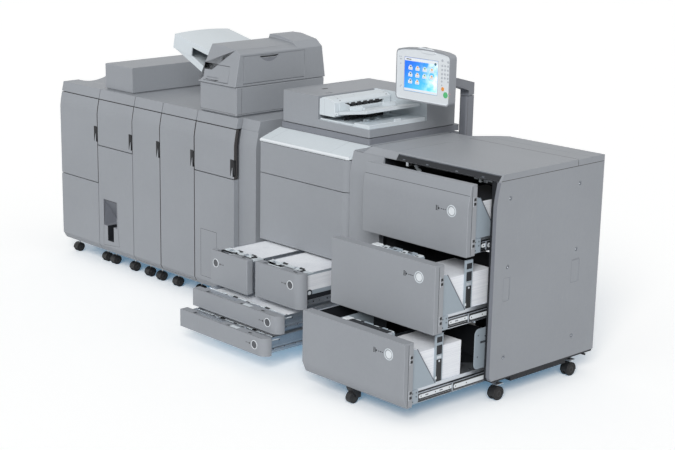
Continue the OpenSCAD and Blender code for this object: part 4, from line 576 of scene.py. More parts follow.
def dress(name, materials, width=2.5, zones=(), smooth=32, steps=2):
    """Copies a node's mesh, joins its triangles to flat faces and rounds its long outer edges with a bevel.

    A zone is (low, high, number of the material) and takes the faces whose centres lie in that box.
    """
    work = bmesh.new()
    work.from_mesh(frame["nodes"][name].data)
    bmesh.ops.remove_doubles(work, verts=work.verts, dist=WELD)
    bmesh.ops.dissolve_limit(work, angle_limit=FLAT_BELOW, verts=work.verts, edges=work.edges)
    for low, high, number in zones:
        low, high = place(low), place(high)
        for face in work.faces:
            centre = np.array(face.calc_center_median())
            if np.all(centre > low) and np.all(centre < high):
                face.material_index = number
    layer = work.edges.layers.float.new("bevel_weight_edge")
    for edge in work.edges:
        if width and len(edge.link_faces) == 2 and edge.is_convex and edge.calc_length() > SHORT_EDGE * MM:
            if edge.calc_face_angle() > ROUND_ABOVE:
                edge[layer] = 1.0
    mesh = bpy.data.meshes.new(name + "_dressed")
    work.to_mesh(mesh)
    work.free()
    for material in materials:
        mesh.materials.append(material)
    mesh.shade_smooth()
    mesh.set_sharp_from_angle(angle=math.radians(smooth))
    made = register(bpy.data.objects.new(name + "_dressed", mesh), BODY_OF[name], (name,))
    if width:
        rounding = made.modifiers.new("rounding", "BEVEL")
        rounding.width = width * MM
        rounding.segments = steps
        rounding.limit_method = "WEIGHT"
        rounding.use_clamp_overlap = True
        evened = made.modifiers.new("evened", "WEIGHTED_NORMAL")
        evened.keep_sharp = True
        evened.weight = 90
    return made


def paint(name, material):
    """Gives a CAD node that stays its finish."""
    shown = frame["nodes"][name]
    shown.data.materials.clear()
    shown.data.materials.append(material)


# Camera, light and floor

YAW, PITCH, ROLL = math.radians(50.34), math.radians(14.88), math.radians(0.064)
EYE = (5.839, -5.025, 2.418)
FOCAL_LENGTH, FILM_WIDTH = 81.25, 36.0
SHIFT_X, SHIFT_Y = 0.1536, 0.029
FAR_CLIP = 500
TOWARDS_SUN = (0.54, -0.67, 0.51)
SUN_STRENGTH, SUN_ANGLE = math.pi * 0.72, math.radians(28)
SKY_ON_OBJECT = 0.45
FLOOR_COLOUR, FLOOR_SEEN = (0.66, 0.67, 0.69, 1), (1.16, 1.05, 0.93, 1)
FLOOR_GLOW, FLOOR_GLOW_STRENGTH = (0.43, 1.15, 1.88, 1), 0.13
FLOOR_REACH = 150.0


def seen_rays(tree):
    """One for rays that the camera sees straight, in a gloss or through glass, and otherwise nought."""
    paths = node(tree, "ShaderNodeLightPath").outputs
    direct = sums(tree, "MAXIMUM", paths["Is Camera Ray"], paths["Is Glossy Ray"])
    return sums(tree, "MAXIMUM", direct, paths["Is Transmission Ray"])


def camera():
    """Camera at the photograph's angle, from yaw and pitch, turned about its line of sight by the roll."""
    ahead = Vector((-math.sin(YAW) * math.cos(PITCH), math.cos(YAW) * math.cos(PITCH), -math.sin(PITCH)))
    right = Vector((math.cos(YAW), math.sin(YAW), 0))
    up = right.cross(ahead)
    right, up = math.cos(ROLL) * right + math.sin(ROLL) * up, math.cos(ROLL) * up - math.sin(ROLL) * right
    lens = bpy.data.cameras.new("studio_camera")
    lens.lens, lens.sensor_width, lens.shift_x, lens.shift_y = FOCAL_LENGTH, FILM_WIDTH, SHIFT_X, SHIFT_Y
    lens.clip_end = FAR_CLIP
    made = bpy.data.objects.new("studio_camera", lens)
    made.matrix_world = Matrix.Translation(EYE) @ Matrix((right, up, -ahead)).transposed().to_4x4()
    bpy.context.scene.collection.objects.link(made)
    bpy.context.scene.camera = made


def lights():
    """A soft sun from the front right and an even sky that is white where it is seen."""
    sun = bpy.data.lights.new("soft_sun", "SUN")
    sun.energy, sun.angle = SUN_STRENGTH, SUN_ANGLE
    lamp = bpy.data.objects.new("soft_sun", sun)
    lamp.rotation_euler = Vector(TOWARDS_SUN).to_track_quat("Z", "Y").to_euler()
    bpy.context.scene.collection.objects.link(lamp)
    world = bpy.data.worlds.new("studio_sky")
    world.use_nodes = True
    bpy.context.scene.world = world
    tree = world.node_tree
    sky = tree.nodes["Background"].inputs
    sky[0].default_value = (1, 1, 1, 1)
    tree.links.new(ranged(tree, seen_rays(tree), 0.0, 1.0, SKY_ON_OBJECT, 1.0), sky[1])


def white_floor():
    """A wide floor that looks white and keeps the shadow, with a faint cool light where it is seen."""
    white = bpy.data.materials.new("white_floor")
    white.use_nodes = True
    tree = white.node_tree
    tree.nodes.remove(tree.nodes["Principled BSDF"])
    seen = seen_rays(tree)
    colour = tint(tree, seen, FLOOR_COLOUR, FLOOR_SEEN)
    matt = node(tree, "ShaderNodeBsdfDiffuse", {"Color": colour}).outputs[0]
    strength = sums(tree, "MULTIPLY", seen, FLOOR_GLOW_STRENGTH)
    glow = node(tree, "ShaderNodeEmission", {"Color": FLOOR_GLOW, "Strength": strength}).outputs[0]
    both = node(tree, "ShaderNodeAddShader", {0: matt, 1: glow}).outputs[0]
    tree.links.new(both, tree.nodes["Material Output"].inputs["Surface"])
    mesh = bpy.data.meshes.new("white_floor")
    corners = [(x, y, 0) for x, y in oblong(-FLOOR_REACH, -FLOOR_REACH, FLOOR_REACH, FLOOR_REACH)]
    mesh.from_pydata(corners, [], [(0, 1, 2, 3)])
    mesh.materials.append(white)
    floor = bpy.data.objects.new("white_floor", mesh)
    bpy.context.scene.collection.objects.link(floor)


camera()
lights()
white_floor()
bpy.context.scene.view_settings.view_transform = "Standard"

# Paper deck: where its planes that face right stand, from the trays' wall outwards, and its drawers' parts

TRAY_WALL = 3306.0
MEMBER_FACE = 3311.2
SLIDE_FACE = 3316.6
COVER_FACE = 3374.0
TOP_SEAM = 957
DECK_DRAWERS = ("deck_top", "deck_middle", "deck_bottom")
ENGINE_DRAWERS = ("left_deck", "right_deck", "upper_cassette", "lower_cassette")
BUTTON_RIM = [(21.8, 2), (21.8, -0.4), (22.6, -1.4), (25.6, -1.2), (26.8, 0.6)]
BUTTON_RINGS = [(0, 0.9), (4.5, 0.9), (5.0, 0.3), (8.0, 0.3), (8.5, 0.9), (12.5, 0.9), (13.0, 0.3),
                (15.5, 0.3), (16.0, 0.9), (19.6, 0.9), (20.8, 1.8)]


def deck_marks():
    """End strips, latch brackets, level marks, button rims and ringed buttons of the three deck fronts."""
    for name in DECK_DRAWERS:
        front = name + "_front"
        low, high = cad(front)
        x, _, z = middle(name + "_button")
        piece = piece_on(front, front + "_details")
        piece.knob((x, touch(front, 1, -1, x - 40, z), z), 1, BUTTON_RIM, PALE, 40, hollow=True)
        # Level marks: a bar in four parts, and dashes of (place from the button, width, height)
        for part in range(4):
            foot = z - 11 + 6 * part
            piece.patch(front, 1, -1, oblong(x - 91, foot, x - 84, foot + 4.5), BLACK, 0.2)
        for along, wide, tall in ((-78, 8, 8), (-80, 3, 22), (-62, 7, 3.4), (-51, 8, 4), (-39, 6, 3.4)):
            dash = oblong(x + along, z - tall / 2, x + along + wide, z + tall / 2)
            piece.patch(front, 1, -1, dash, NEAR_BLACK_AND_SHADE, 0.2)
        # Right end: groove between cover and inner pan, and the pan's paler strip with latch brackets
        y, right = low[1], high[0]
        piece.patch(front, 0, 1, oblong(y + 24.5, low[2] + 6, y + 26.5, high[2] - 8), NEAR_BLACK_AND_SHADE, 0.2)
        piece.patch(front, 0, 1, oblong(y + 27, low[2] + 8, y + 54, high[2] - 12), SHEET, 0.3)
        for foot in (high[2] - 92, high[2] - 72, low[2] + 62, low[2] + 40):
            piece.block((right - 1, y + 36, foot), (right + 1.3, y + 50, foot + 12), BLACK, 0.5)
        for foot in (high[2] - 98, low[2] + 34):
            piece.block((right - 1, y + 32, foot), (right + 0.8, y + 35, foot + 44), STEEL, 0.3)
        if name == "deck_top":
            piece.seam(front, 1, -1, [(low[0] + 4, TOP_SEAM), (high[0] - 2, TOP_SEAM)], 1.6, NEAR_BLACK_AND_SHADE, 0.15)
        piece.done()
        push_button(name + "_button", name + "_button_ringed", BUTTON_RINGS, WHITE, 40)


def stack_and_post(piece, y, floor, seed):
    """Reams a little out of line, a gusset with its dark slanting edge, and a guide post with windows."""
    rng = np.random.default_rng(seed)
    for ream in range(6):
        level = floor + 2 + ream * 26
        out = float(rng.uniform(0.2, 1.2))
        piece.block((3084.8 - out, y + 79 - out, level), (3294.9, y + 376 + out, level + 25), PAPER, 0.6)
    gusset = [(y + 55, floor), (y + 205, floor), (y + 88, floor + 177), (y + 55, floor + 186)]
    piece.prism(gusset, 0, TRAY_WALL, TRAY_WALL + 0.6, BLUE_SHEET, 0.1)
    slant = [(y + 205, floor), (y + 210, floor), (y + 92, floor + 179), (y + 88, floor + 177)]
    piece.prism(slant, 0, TRAY_WALL - 3, TRAY_WALL + 0.8, DARK_STEEL, 0.1)
    for side in (207, 246):
        piece.block((3299, y + side, floor + 2), (3304.6, y + side + 5, floor + 214), BLUE_SHEET, 0.6)
    for foot, head, material in ((2, 104, BLACK), (126, 168, NEAR_BLACK_AND_SHADE), (180, 206, NEAR_BLACK_AND_SHADE)):
        piece.block((3299, y + 212, floor + foot), (3304, y + 246, floor + head), material, 0.5)
    for foot, head in ((104, 126), (168, 180), (206, 216)):
        piece.block((3299, y + 210, floor + foot), (3304.8, y + 248, floor + head), BLUE_SHEET, 0.8)
    piece.block((3298, y + 214, floor + 108), (3306, y + 240, floor + 120), STEEL, 1)
    piece.screw((3304.6, y + 229, floor + 96), 0, 1, 5, STEEL)
    piece.block((3303, y + 207, floor + 16), (3305.4, y + 216, floor + 28), WHITE, 0.6)


def feed_head(piece, y, top):
    """Behind the front's left part: a pale block, a bar with cover plates, and two rollers."""
    piece.block((2866, y + 62, top - 70), (3160, y + 118, top - 30), NEAR_BLACK_AND_SHADE, 1)
    piece.block((2868, y + 62, top - 30), (2910, y + 104, top - 3), WHITE, 4)
    piece.block((2910, y + 74, top - 30), (3150, y + 112, top - 14), BLUE_SHEET, 1)
    piece.rod((2910, y + 66, top - 18), (3152, y + 66, top - 18), 4, BRIGHT)
    for k, (x, wide) in enumerate(((2914, 46), (2966, 54), (3028, 44), (3080, 30), (3116, 30))):
        rise = top - 9 + 3 * (k % 2)
        piece.block((x, y + 68, top - 15), (x + wide, y + 112, rise), (PALE, BLUE_SHEET)[k % 2], 1.5)
        piece.screw((x + wide * 0.25, y + 82, rise), 2, 1, 4, DARK_STEEL)
        piece.block((x + wide * 0.5, y + 76, rise - 1), (x + wide * 0.8, y + 84, rise + 1.5), BLACK, 0.5)
    for x in (2962, 3074):
        piece.rod((x - 6, y + 98, top - 15), (x + 9, y + 98, top - 15), 12, BLACK, 18, 1.5)


def tray_side(piece, y, z, floor):
    """Rear plate, and the chassis side with its lips, slide member, holes and the front's bracket."""
    plate = rounded(y + 452, floor + 2, y + 560, floor + 190, 26)
    piece.prism(plate, 0, TRAY_WALL - 2.6, TRAY_WALL + 0.6, BLUE_SHEET, 0.8)
    for along, up in ((474, 60), (474, 160), (520, 150)):
        piece.screw((TRAY_WALL + 0.4, y + along, floor + up), 0, 1, 4, DARK_STEEL, 0.8)
    slot = rounded(y + 488, floor + 120, y + 540, floor + 130, 4)
    piece.prism(slot, 0, TRAY_WALL, TRAY_WALL + 0.9, DARK_STEEL, 0.1)
    for foot, head in ((52, 60), (9, 19)):
        piece.prism(oblong(y + 56, z + foot, y + 640, z + head), 0, TRAY_WALL, TRAY_WALL + 0.5, BLACK, 0.1)
    # The member's black channel is painted shade, and its white bar a painted highlight along it
    channel = oblong(y + 98, z + 20.5, y + 596, z + 49.5)
    piece.prism(channel, 0, MEMBER_FACE - 0.2, MEMBER_FACE + 0.08, BLACK, 0.05)
    bar = rounded(y + 102, z + 27, y + 590, z + 44, 8)
    piece.prism(bar, 0, MEMBER_FACE, MEMBER_FACE + 0.18, WHITE, 0.02)
    for along in y + np.linspace(116, 560, 6):
        hole = rounded(along - 3, z + 32.5, along + 3, z + 38.5, 2.9)
        piece.prism(hole, 0, MEMBER_FACE + 0.1, MEMBER_FACE + 0.22, BLACK, 0.02)
        slot = rounded(along + 26, z + 33, along + 46, z + 38, 2.4)
        piece.prism(slot, 0, MEMBER_FACE + 0.1, MEMBER_FACE + 0.22, DARK_STEEL, 0.02)
    piece.block((TRAY_WALL, y + 53, z + 8), (MEMBER_FACE + 0.1, y + 98, z + 70), BLUE_SHEET, 0.8)
    piece.block((TRAY_WALL, y + 98, z + 24), (MEMBER_FACE, y + 108, z + 50), STEEL, 0.8)
    for along, up in ((64, 20), (64, 58), (86, 40), (86, 58)):
        piece.screw((MEMBER_FACE, y + along, z + up), 0, 1, 3.6, BLACK, 0.2)


def slide_bars(slides, z):
    """The slide's middle member: a dark channel of painted shade with a white bar of painted highlight, and
    two holes.
    """
    dress(slides, (ZINC,), 0)
    start, end = (corner[1] for corner in cad(slides))
    bars = piece_on(slides, slides + "_bars")
    channel, bar = oblong(start + 4, z + 17, end - 4, z + 53), rounded(start + 8, z + 24, end - 10, z + 44, 9)
    bars.prism(channel, 0, SLIDE_FACE - 0.1, SLIDE_FACE + 0.12, BLACK, 0.05)
    bars.prism(bar, 0, SLIDE_FACE, SLIDE_FACE + 0.24, WHITE, 0.05)
    for along in (start + 20, start + 90):
        hole = rounded(along - 3, z + 31, along + 3, z + 37, 2.9)
        bars.prism(hole, 0, SLIDE_FACE + 0.1, SLIDE_FACE + 0.3, BLACK, 0.05)
    bars.done()


def deck_trays():
    """Steel trays with their paper, side gusset and guide post, feed heads, rear plates and slides."""
    head_rise = {"deck_middle": 308, "deck_bottom": 295}
    for name in DECK_DRAWERS:
        tray = name + "_tray"
        front_low, front_high = cad(name + "_front")
        y, z = front_low[1], front_low[2] if name != "deck_bottom" else 80.0
        floor = z + 72
        # Painted shade over the feed section in the tray's left part, paper, post, dark caster zone, and
        # painted shade on the top drawer's paper where the lid shades it
        dress(tray, (STEEL, PAPER, BLUE_SHEET, NEAR_BLACK_AND_SHADE, BLACK), 0, zones=[
            ((2686, y + 58, z + 60), (3082, y + 640, z + 300), 3),
            ((3084, y + 78, z + 73), (3295.1, y + 377, z + 231), 1),
            ((3295.1, y + 205, z + 40), (3303.5, y + 253, z + 400), 2),
            ((2600, y, 0), (3400, y + 200, 78), 4),
            ((3084, y + 78, 900), (3295.1, y + 377, 1000), 3)])
        piece = piece_on(tray, tray + "_details")
        stack_and_post(piece, y, floor, len(name))
        if name in head_rise:
            feed_head(piece, y, z + head_rise[name])
        # Cross walls in the left half; the bottom drawer has a tall left wall with a bright rim, and its
        # near-black left wall and cross wall are painted shade in its left compartment
        if name == "deck_bottom":
            wall = front_high[2] - 18
            piece.block((2686.9, y + 55.5, floor), (2689.5, y + 600, wall), NEAR_BLACK_AND_SHADE, 0.3)
            piece.block((2686.5, y + 55.5, wall), (2696, y + 600, wall + 3), STEEL, 0.8)
            piece.block((2800, y + 60, floor), (2802, y + 330, wall - 12), BLUE_SHEET, 0.3)
            piece.block((2689, y + 330, floor), (2884, y + 333, wall - 24), NEAR_BLACK_AND_SHADE, 0.3)
        piece.block((2884, y + 60, floor), (2886, y + 560, z + 150), DARK_STEEL, 0.3)
        tray_side(piece, y, z, floor)
        piece.done()
        slide_bars(name + "_slides", z)


def side_cover():
    """Screw caps, small holes, finger slots and seams of the deck's side cover and lid."""
    cap = [(8.6, -3), (8.6, -0.4), (7.4, 0), (5.6, -0.9), (0, -0.9)]
    piece = piece_on("deck_covers", "deck_cover_details")
    for y, z in ((85, 929), (559, 928), (91, 620), (559, 623), (90, 204), (565, 211)):
        piece.knob((COVER_FACE, y, z), 0, cap, DARK_STEEL, 20)
        # A small steel disc off each cap's middle: a painted glint
        piece.knob((COVER_FACE, y - 2.5, z + 1), 0, [(3.2, -2), (3.2, -0.3), (0, -0.2)], STEEL, 14)
    for y, z in ((519, 904), (518, 607), (524, 302)):
        piece.knob((COVER_FACE, y, z), 0, [(2.2, -3), (2.2, -0.2), (0, -0.2)], BLACK, 10)
    for y0, y1 in ((64, 108), (531, 592)):
        for edge, width, material, proud in (
                (rounded(y0, 466, y1, 576, 5, 3), 1.8, SHEET, 0.25),
                (rounded(y0 + 2, 468, y1 - 2, 574, 4, 3), 1.4, DEEP, 0.2)):
            piece.seam("deck_covers", 0, 1, np.concatenate([edge, edge[:1]]), width, material, proud)
    for axis, path, width in ((0, [(22, 1011), (724, 1011)], 2.4), (0, [(540, 1012), (540, 1038)], 2.4),
                              (2, [(2735, 34), (2735, 545)], 2.2), (2, [(2735, 545), (3373, 545)], 2.2)):
        piece.seam("deck_covers", axis, 1, path, width, DARK_LINES_AND_SHADE, 0.2)
    piece.done()


def deck_body():
    """The deck's covers and frame with painted shade on their inside and side flange, the painted shade of
    the opening under the lid, and black sheets of painted shade at the rear.
    """
    # Near-black painted shade on the covers' and frame's inner faces, and deep grey painted shade on the side
    # wall's front flange
    dress("deck_covers", (GREY, NEAR_BLACK_AND_SHADE, DEEP), zones=[
        ((2676.5, 20, 80), (3369, 731, 1004), 1), ((3352, -20, 80), (3369, 40, 1004), 2)])
    dress("deck_frame", (STEEL, NEAR_BLACK_AND_SHADE, GREY), 0, zones=[
        ((2600, 3, 60), (3372, 722, 1007), 1), ((2600, 722, 60), (3374, 731, 1007), 2)])
    side_cover()
    inside = Piece("deck_inside_parts", "line", "black_plastic")
    # Painted shade of the opening under the lid's thin front edge, as near-black plates on the cover, in two
    # strips because the edge bends between them
    for foot, head in ((1006.5, 1009.5), (1010.2, 1033.5)):
        inside.patch("deck_covers", 1, -1, oblong(2752, foot, 3362, head), NEAR_BLACK_AND_SHADE, 0.6)
    for x in (2790, 2934, 3110, 3262):
        inside.patch("deck_covers", 1, -1, oblong(x, 1013, x + 14, 1017), DARK_STEEL, 1.0)
    inside.patch("deck_covers", 1, -1, oblong(2758, 1030.5, 3358, 1033), DARK_STEEL, 1.0)
    # Black sheets that close the rear below the back panel and behind the bottom drawer: painted shade in the
    # gap there
    rear = [(2688, 584), (2776, 694), (2818, 724), (3340, 724),
            (3340, 720), (2820, 720), (2779, 690), (2691, 580)]
    inside.prism(rear, 2, 70, 79.4, BLACK, 0.4)
    inside.block((2480, 576, 70), (2690, 580, 79.4), BLACK, 0.4)
    inside.block((2712, 656.5, 76), (2800, 660, 142), BLACK, 0.4)
    # Harness under the lid's front edge, with connectors beside the way of the feed head
    rng = np.random.default_rng(7)
    inside.block((2760, 70, 996), (3310, 86, 1002), DARK_STEEL, 1)
    for x in np.linspace(2768, 3290, 20):
        wide, tall = float(rng.uniform(8, 22)), float(rng.uniform(8, 22))
        colour = (PALE, BLACK, STEEL, BLACK)[int(rng.integers(4))]
        if x + wide < 2858 or x > 3168:
            inside.block((x, 66, 996 - tall), (x + wide, 82, 997), colour, 1)
    for x0, x1 in ((2766, 2852), (3170, 3290)):
        inside.rod((x0, 74, 990), (x1, 74, 978), 3.2, BLACK, 10)
    inside.rod((2832, 64, 990), (2832, 92, 958), 9, PALE, 14)
    inside.done()


# Finishes that only one piece has


def screen_glow():
    """Screen picture, self-lit: deep blue at the upper left to pale cyan at the lower right, white clouds."""
    made, tree, shader = new_material("lit_screen", Roughness=0.15, Emission_Strength=0.75)
    where = here(tree)
    parts = node(tree, "ShaderNodeSeparateXYZ", {0: where}).outputs
    low, high = (place(corner) for corner in cad("panel_screen"))
    across = ranged(tree, parts[0], float(low[0]), float(high[0]))
    down = ranged(tree, parts[2], float(high[2]), float(low[2]))
    slant = sums(tree, "MULTIPLY", sums(tree, "ADD", across, down), 0.5)
    sky = tint(tree, ranged(tree, slant, 0.2, 0.95), (0.0, 0.11, 0.62, 1), (0.07, 0.52, 0.86, 1))
    clouds = ranged(tree, noise(tree, where, 16.0, 4.0), 0.46, 0.72)
    clouds = sums(tree, "MULTIPLY", clouds, ranged(tree, across, 0.45, 0.9))
    picture = tint(tree, clouds, sky, (0.92, 0.97, 1.0, 1))
    tree.links.new(picture, shader["Base Color"])
    tree.links.new(picture, shader["Emission Color"])
    return made


SCREEN = screen_glow()
TILE = key_colour("screen_white_tile", (0.86, 0.90, 0.93), 0.3, 0.0)
AMBER = key_colour("screen_amber_mark", (0.85, 0.42, 0.06), 0.3, 0.0)
KEY = key_colour("pale_grey_key", (0.47, 0.50, 0.54))
LED = key_colour("yellow_green_lamp", (0.50, 0.60, 0.05), 0.3, 0.0)


def crescent(a, b, level, tall, steps=8):
    """Outline of a finger grip from a (t = -1) to b (t = 1).

    The top stands tall * t^2 / 4 above the level, and the bottom tall * (1 - t^2) + 0.5 below it.
    """
    t = np.linspace(-1, 1, steps + 1)
    along = (a + b) / 2 + (b - a) / 2 * t
    top = np.stack([along, level + tall * 0.25 * t * t], 1)
    bottom = np.stack([along[::-1], level - tall * (1 - t[::-1] ** 2) - 0.5], 1)
    return np.concatenate([bottom[::-1], top[::-1]])


# Engine drawers

# Ring round a button as (radius beyond it, depth), and where the lever plates start and end behind the front
BUTTON_COLLAR = ((0.4, 1), (0.5, -1.1), (1.6, -1.6), (3.4, -1.1), (4.2, 0.6))
LEVERS = (44, 110)


def engine_buttons():
    """Round dark buttons with a pale ring, level marks beside them, and patches on the fronts' top edges."""
    for name in ENGINE_DRAWERS:
        front = name + "_front"
        low, high = cad(front)
        b_low, b_high = cad(name + "_button")
        x, _, z = middle(name + "_button")
        side = 1 if name == "left_deck" else -1
        face = touch(front, 1, -1, x + side * 50, z)
        radius = (b_high[0] - b_low[0]) / 2 - 4
        rings = [(0, 1.6), (radius * 0.55, 1.2), (radius * 0.85, 0.3), (radius - 0.4, 0.0), (radius, 0.8)]
        push_button(name + "_button", name + "_button_turned", rings, BUTTON_GREY)
        piece = piece_on(front, front + "_details")
        ring = [(radius + more, depth) for more, depth in BUTTON_COLLAR]
        piece.knob((x, face, z), 1, ring, WHITE, 40, hollow=True)
        for along, wide, tall in ((30, 8, 8), (42, 3, 4), (48, 5, 3), (56, 4, 7)):
            a, b = sorted((x + side * along, x + side * (along + wide)))
            piece.patch(front, 1, -1, oblong(a, z - tall / 2, b, z + tall / 2), DARK_LINES_AND_SHADE, 0.2)
        # Patches in the top edge, in shares of its width: grips with a dark notch, a seam and a small slot
        wide = high[0] - low[0]
        y = low[1] + 9
        grips = ((0.36, 0.52),) if name.endswith("deck") else ((0.31, 0.40), (0.54, 0.66))
        for start, end in grips:
            a, b = low[0] + wide * start, low[0] + wide * end
            piece.patch(front, 2, 1, [(a, y + 4), (a + 22, y + 4), (a + 11, y + 20)], BLACK, 0.3)
            grip = [(a + 26, y + 2), (b, y + 2), (b + 4, y + 26), (a + 22, y + 26)]
            piece.patch(front, 2, 1, grip, PALE, 0.4)
        piece.seam(front, 2, 1, [(low[0] + 8, y - 4), (high[0] - 20, y - 4)], 0.8, DARK_LINES_AND_SHADE, 0.2)
        a = low[0] + wide * 0.78
        piece.patch(front, 2, 1, oblong(a, y + 8, a + 24, y + 18), BLACK, 0.3)
        piece.done()


def engine_trays():
    """Trays with white paper, pale lever plates across the front, steel rails and a small wheel."""
    for name in ENGINE_DRAWERS:
        tray = name + "_tray"
        low, high = cad(tray)
        y, top = cad(name + "_front")[0][1], cad(name + "_front")[1][2]
        deep = name.endswith("deck")
        side = ((high[0] - 2, y + 30, top - 110), (high[0] + 1, high[1] + 1, top + 9), 1)
        dress(tray, (STEEL, WHITE), 0, zones=[side] if deep else ())
        piece = piece_on(tray, tray + "_details")
        x0, x1 = low[0] + 6, high[0] - 6
        # Sheets on top, from behind the levers to the back
        sheets = (x0 + 10, y + (118 if deep else 110), x1 - 8, high[1] - 14)
        level = top - (9 if deep else 26)
        sunk = touch(tray, 2, 1, (sheets[0] + sheets[2]) / 2, (sheets[1] + sheets[3]) / 2)
        sunk = level - 20 if sunk is None else sunk
        if level - sunk > 1.5:
            piece.block((sheets[0], sheets[1], sunk - 0.5), (sheets[2], sheets[3], level), PAPER, 0.5)
        # Lever plate with its small parts, strewn along it by a seeded draw
        rng = np.random.default_rng(len(name) + int(x0))
        y0, y1 = (y + along for along in LEVERS)
        plate = top - (7 if deep else 18)
        piece.block((x0, y0, plate - 7), (x1, y1, plate - 2), PALE, 1)
        piece.block((x0, y1, plate - 12), (x1, y1 + 6, plate - 6), BLACK, 1)
        wide, count = x1 - x0, 9 if deep else 16
        for k in range(count):
            x = x0 + wide * (k + 0.2 + 0.4 * float(rng.random())) / count
            w, d, h = (float(v) for v in rng.uniform((8, 10, 2), (24, 34, 6)))
            start = y0 + float(rng.uniform(2, y1 - y0 - d - 2))
            material = (PALE, STEEL, PALE, BLACK)[k % 4]
            piece.block((x, start, plate - 3), (x + w, start + d, plate - 2 + h), material, 1)
        piece.rod((x0 + 4, y1 - 6, plate - 1), (x1 - 4, y1 - 6, plate - 1), 3, BRIGHT, 12)
        for share in (0.3, 0.7):
            x = x0 + wide * share
            piece.rod((x, y1 - 8, plate - 4), (x + 30, y1 - 8, plate - 4), 8, BLACK, 18, 1)
            piece.block((x - 8, y1 - 24, plate - 3), (x - 3, y1 + 4, plate + 4), PALE, 1)
        if name != "left_deck":
            engine_tray_side(piece, y, top, low[2], high, deep)
        piece.done()


def engine_tray_side(piece, y, top, foot, high, deep):
    """Rails and screws on a tray's right side, and on a deep one paper, strips and a wheel, nearly flush."""
    side, back = high[0], high[1]
    for rail in (10, 32):
        piece.block((side - 1, y + 40, foot + rail), (side + 0.3, back - 30, foot + rail + 3), BRIGHT, 0.15)
    for along in np.arange(70, 420, 70):
        piece.screw((side, y + along, foot + 22), 0, 1, 3.4, DARK_STEEL, 0.3)
    if deep:
        for start, lower, upper, proud, material in (
                (60, top - 92, top - 12, 0.12, PAPER), (56, top - 16, top - 9, 0.22, BLUE_SHEET),
                (50, top - 112, top - 92, 0.2, BLUE_SHEET), (46, foot + 36, top - 113, 0.1, NEAR_BLACK_AND_SHADE),
                (46, foot + 12, foot + 32, 0.15, STEEL)):
            piece.prism(oblong(y + start, lower, back - 4, upper), 0, side - 1, side + proud, material, 0.1)
        wheel = top - 104
        tyre = [(18, 0), (18, 0.75), (12, 0.8), (11.5, 0.65), (0, 0.65)]
        piece.knob((side - 0.5, y + 74, wheel), 0, tyre, BLACK, 28)
        piece.knob((side, y + 74, wheel), 0, [(9, 0), (9, 0.3), (0, 0.34)], WHITE, 20)
        for along in (100, 190):
            piece.screw((side + 0.1, y + along, foot + 22), 0, 1, 4, BLACK, 0.22)


# Panel


def screen_picture():
    """Bars along the screen's top and bottom, a round mark, and ten plain tiles in rows of four."""
    (x0, y, z0), (x1, _, z1) = cad("panel_screen")
    wide, tall = x1 - x0, z1 - z0
    piece = piece_on("panel_screen", "panel_screen_picture")
    piece.block((x0 + 1, y - 0.3, z1 - tall * 0.10), (x1 - 1, y + 0.5, z1 - 1), TILE, 0.1)
    piece.block((x0 + 1, y - 0.3, z0 + 1), (x1 - 1, y + 0.5, z0 + tall * 0.075), TILE, 0.1)
    title = (x0 + wide * 0.05, y - 0.5, z1 - tall * 0.065), (x0 + wide * 0.20, y, z1 - tall * 0.04)
    piece.block(*title, DARK_LINES_AND_SHADE, 0.1)
    piece.knob((x1 - wide * 0.07, y - 0.9, z1 - tall * 0.10), 1, [(0, 0.2), (7, 0.3), (7, 1.0)], DRUM, 18)
    for k in range(10):
        row, column = divmod(k, 4)
        x, z = x0 + wide * (0.18 + 0.215 * column), z1 - tall * (0.30 + 0.205 * row)
        mark = (DRUM, AMBER, GREEN, AMBER)[k % 4]
        piece.prism(rounded(x - 13, z - 10, x + 13, z + 5, 3, 3), 1, y - 0.3, y + 0.4, TILE, 0.1)
        piece.prism(rounded(x - 7, z - 3, x + 7, z + 12, 2, 2), 1, y - 0.5, y + 0.4, TILE, 0.1)
        piece.prism(rounded(x - 3, z + 1, x + 6, z + 9, 2, 2), 1, y - 0.7, y + 0.4, mark, 0.1)
        piece.block((x - 9, y - 0.5, z - 6), (x + 8, y, z - 4.4), KEY, 0.1)
    piece.done()


def round_key(piece, x, y, z, radius, material, sides, shoulder=0.8, rise=1.2):
    """A low round key on the panel's face, with a rounded shoulder."""
    profile = [(0, 0), (radius - 1, 0.2), (radius, shoulder), (radius, 2)]
    piece.knob((x, y - rise, z), 1, profile, material, sides)


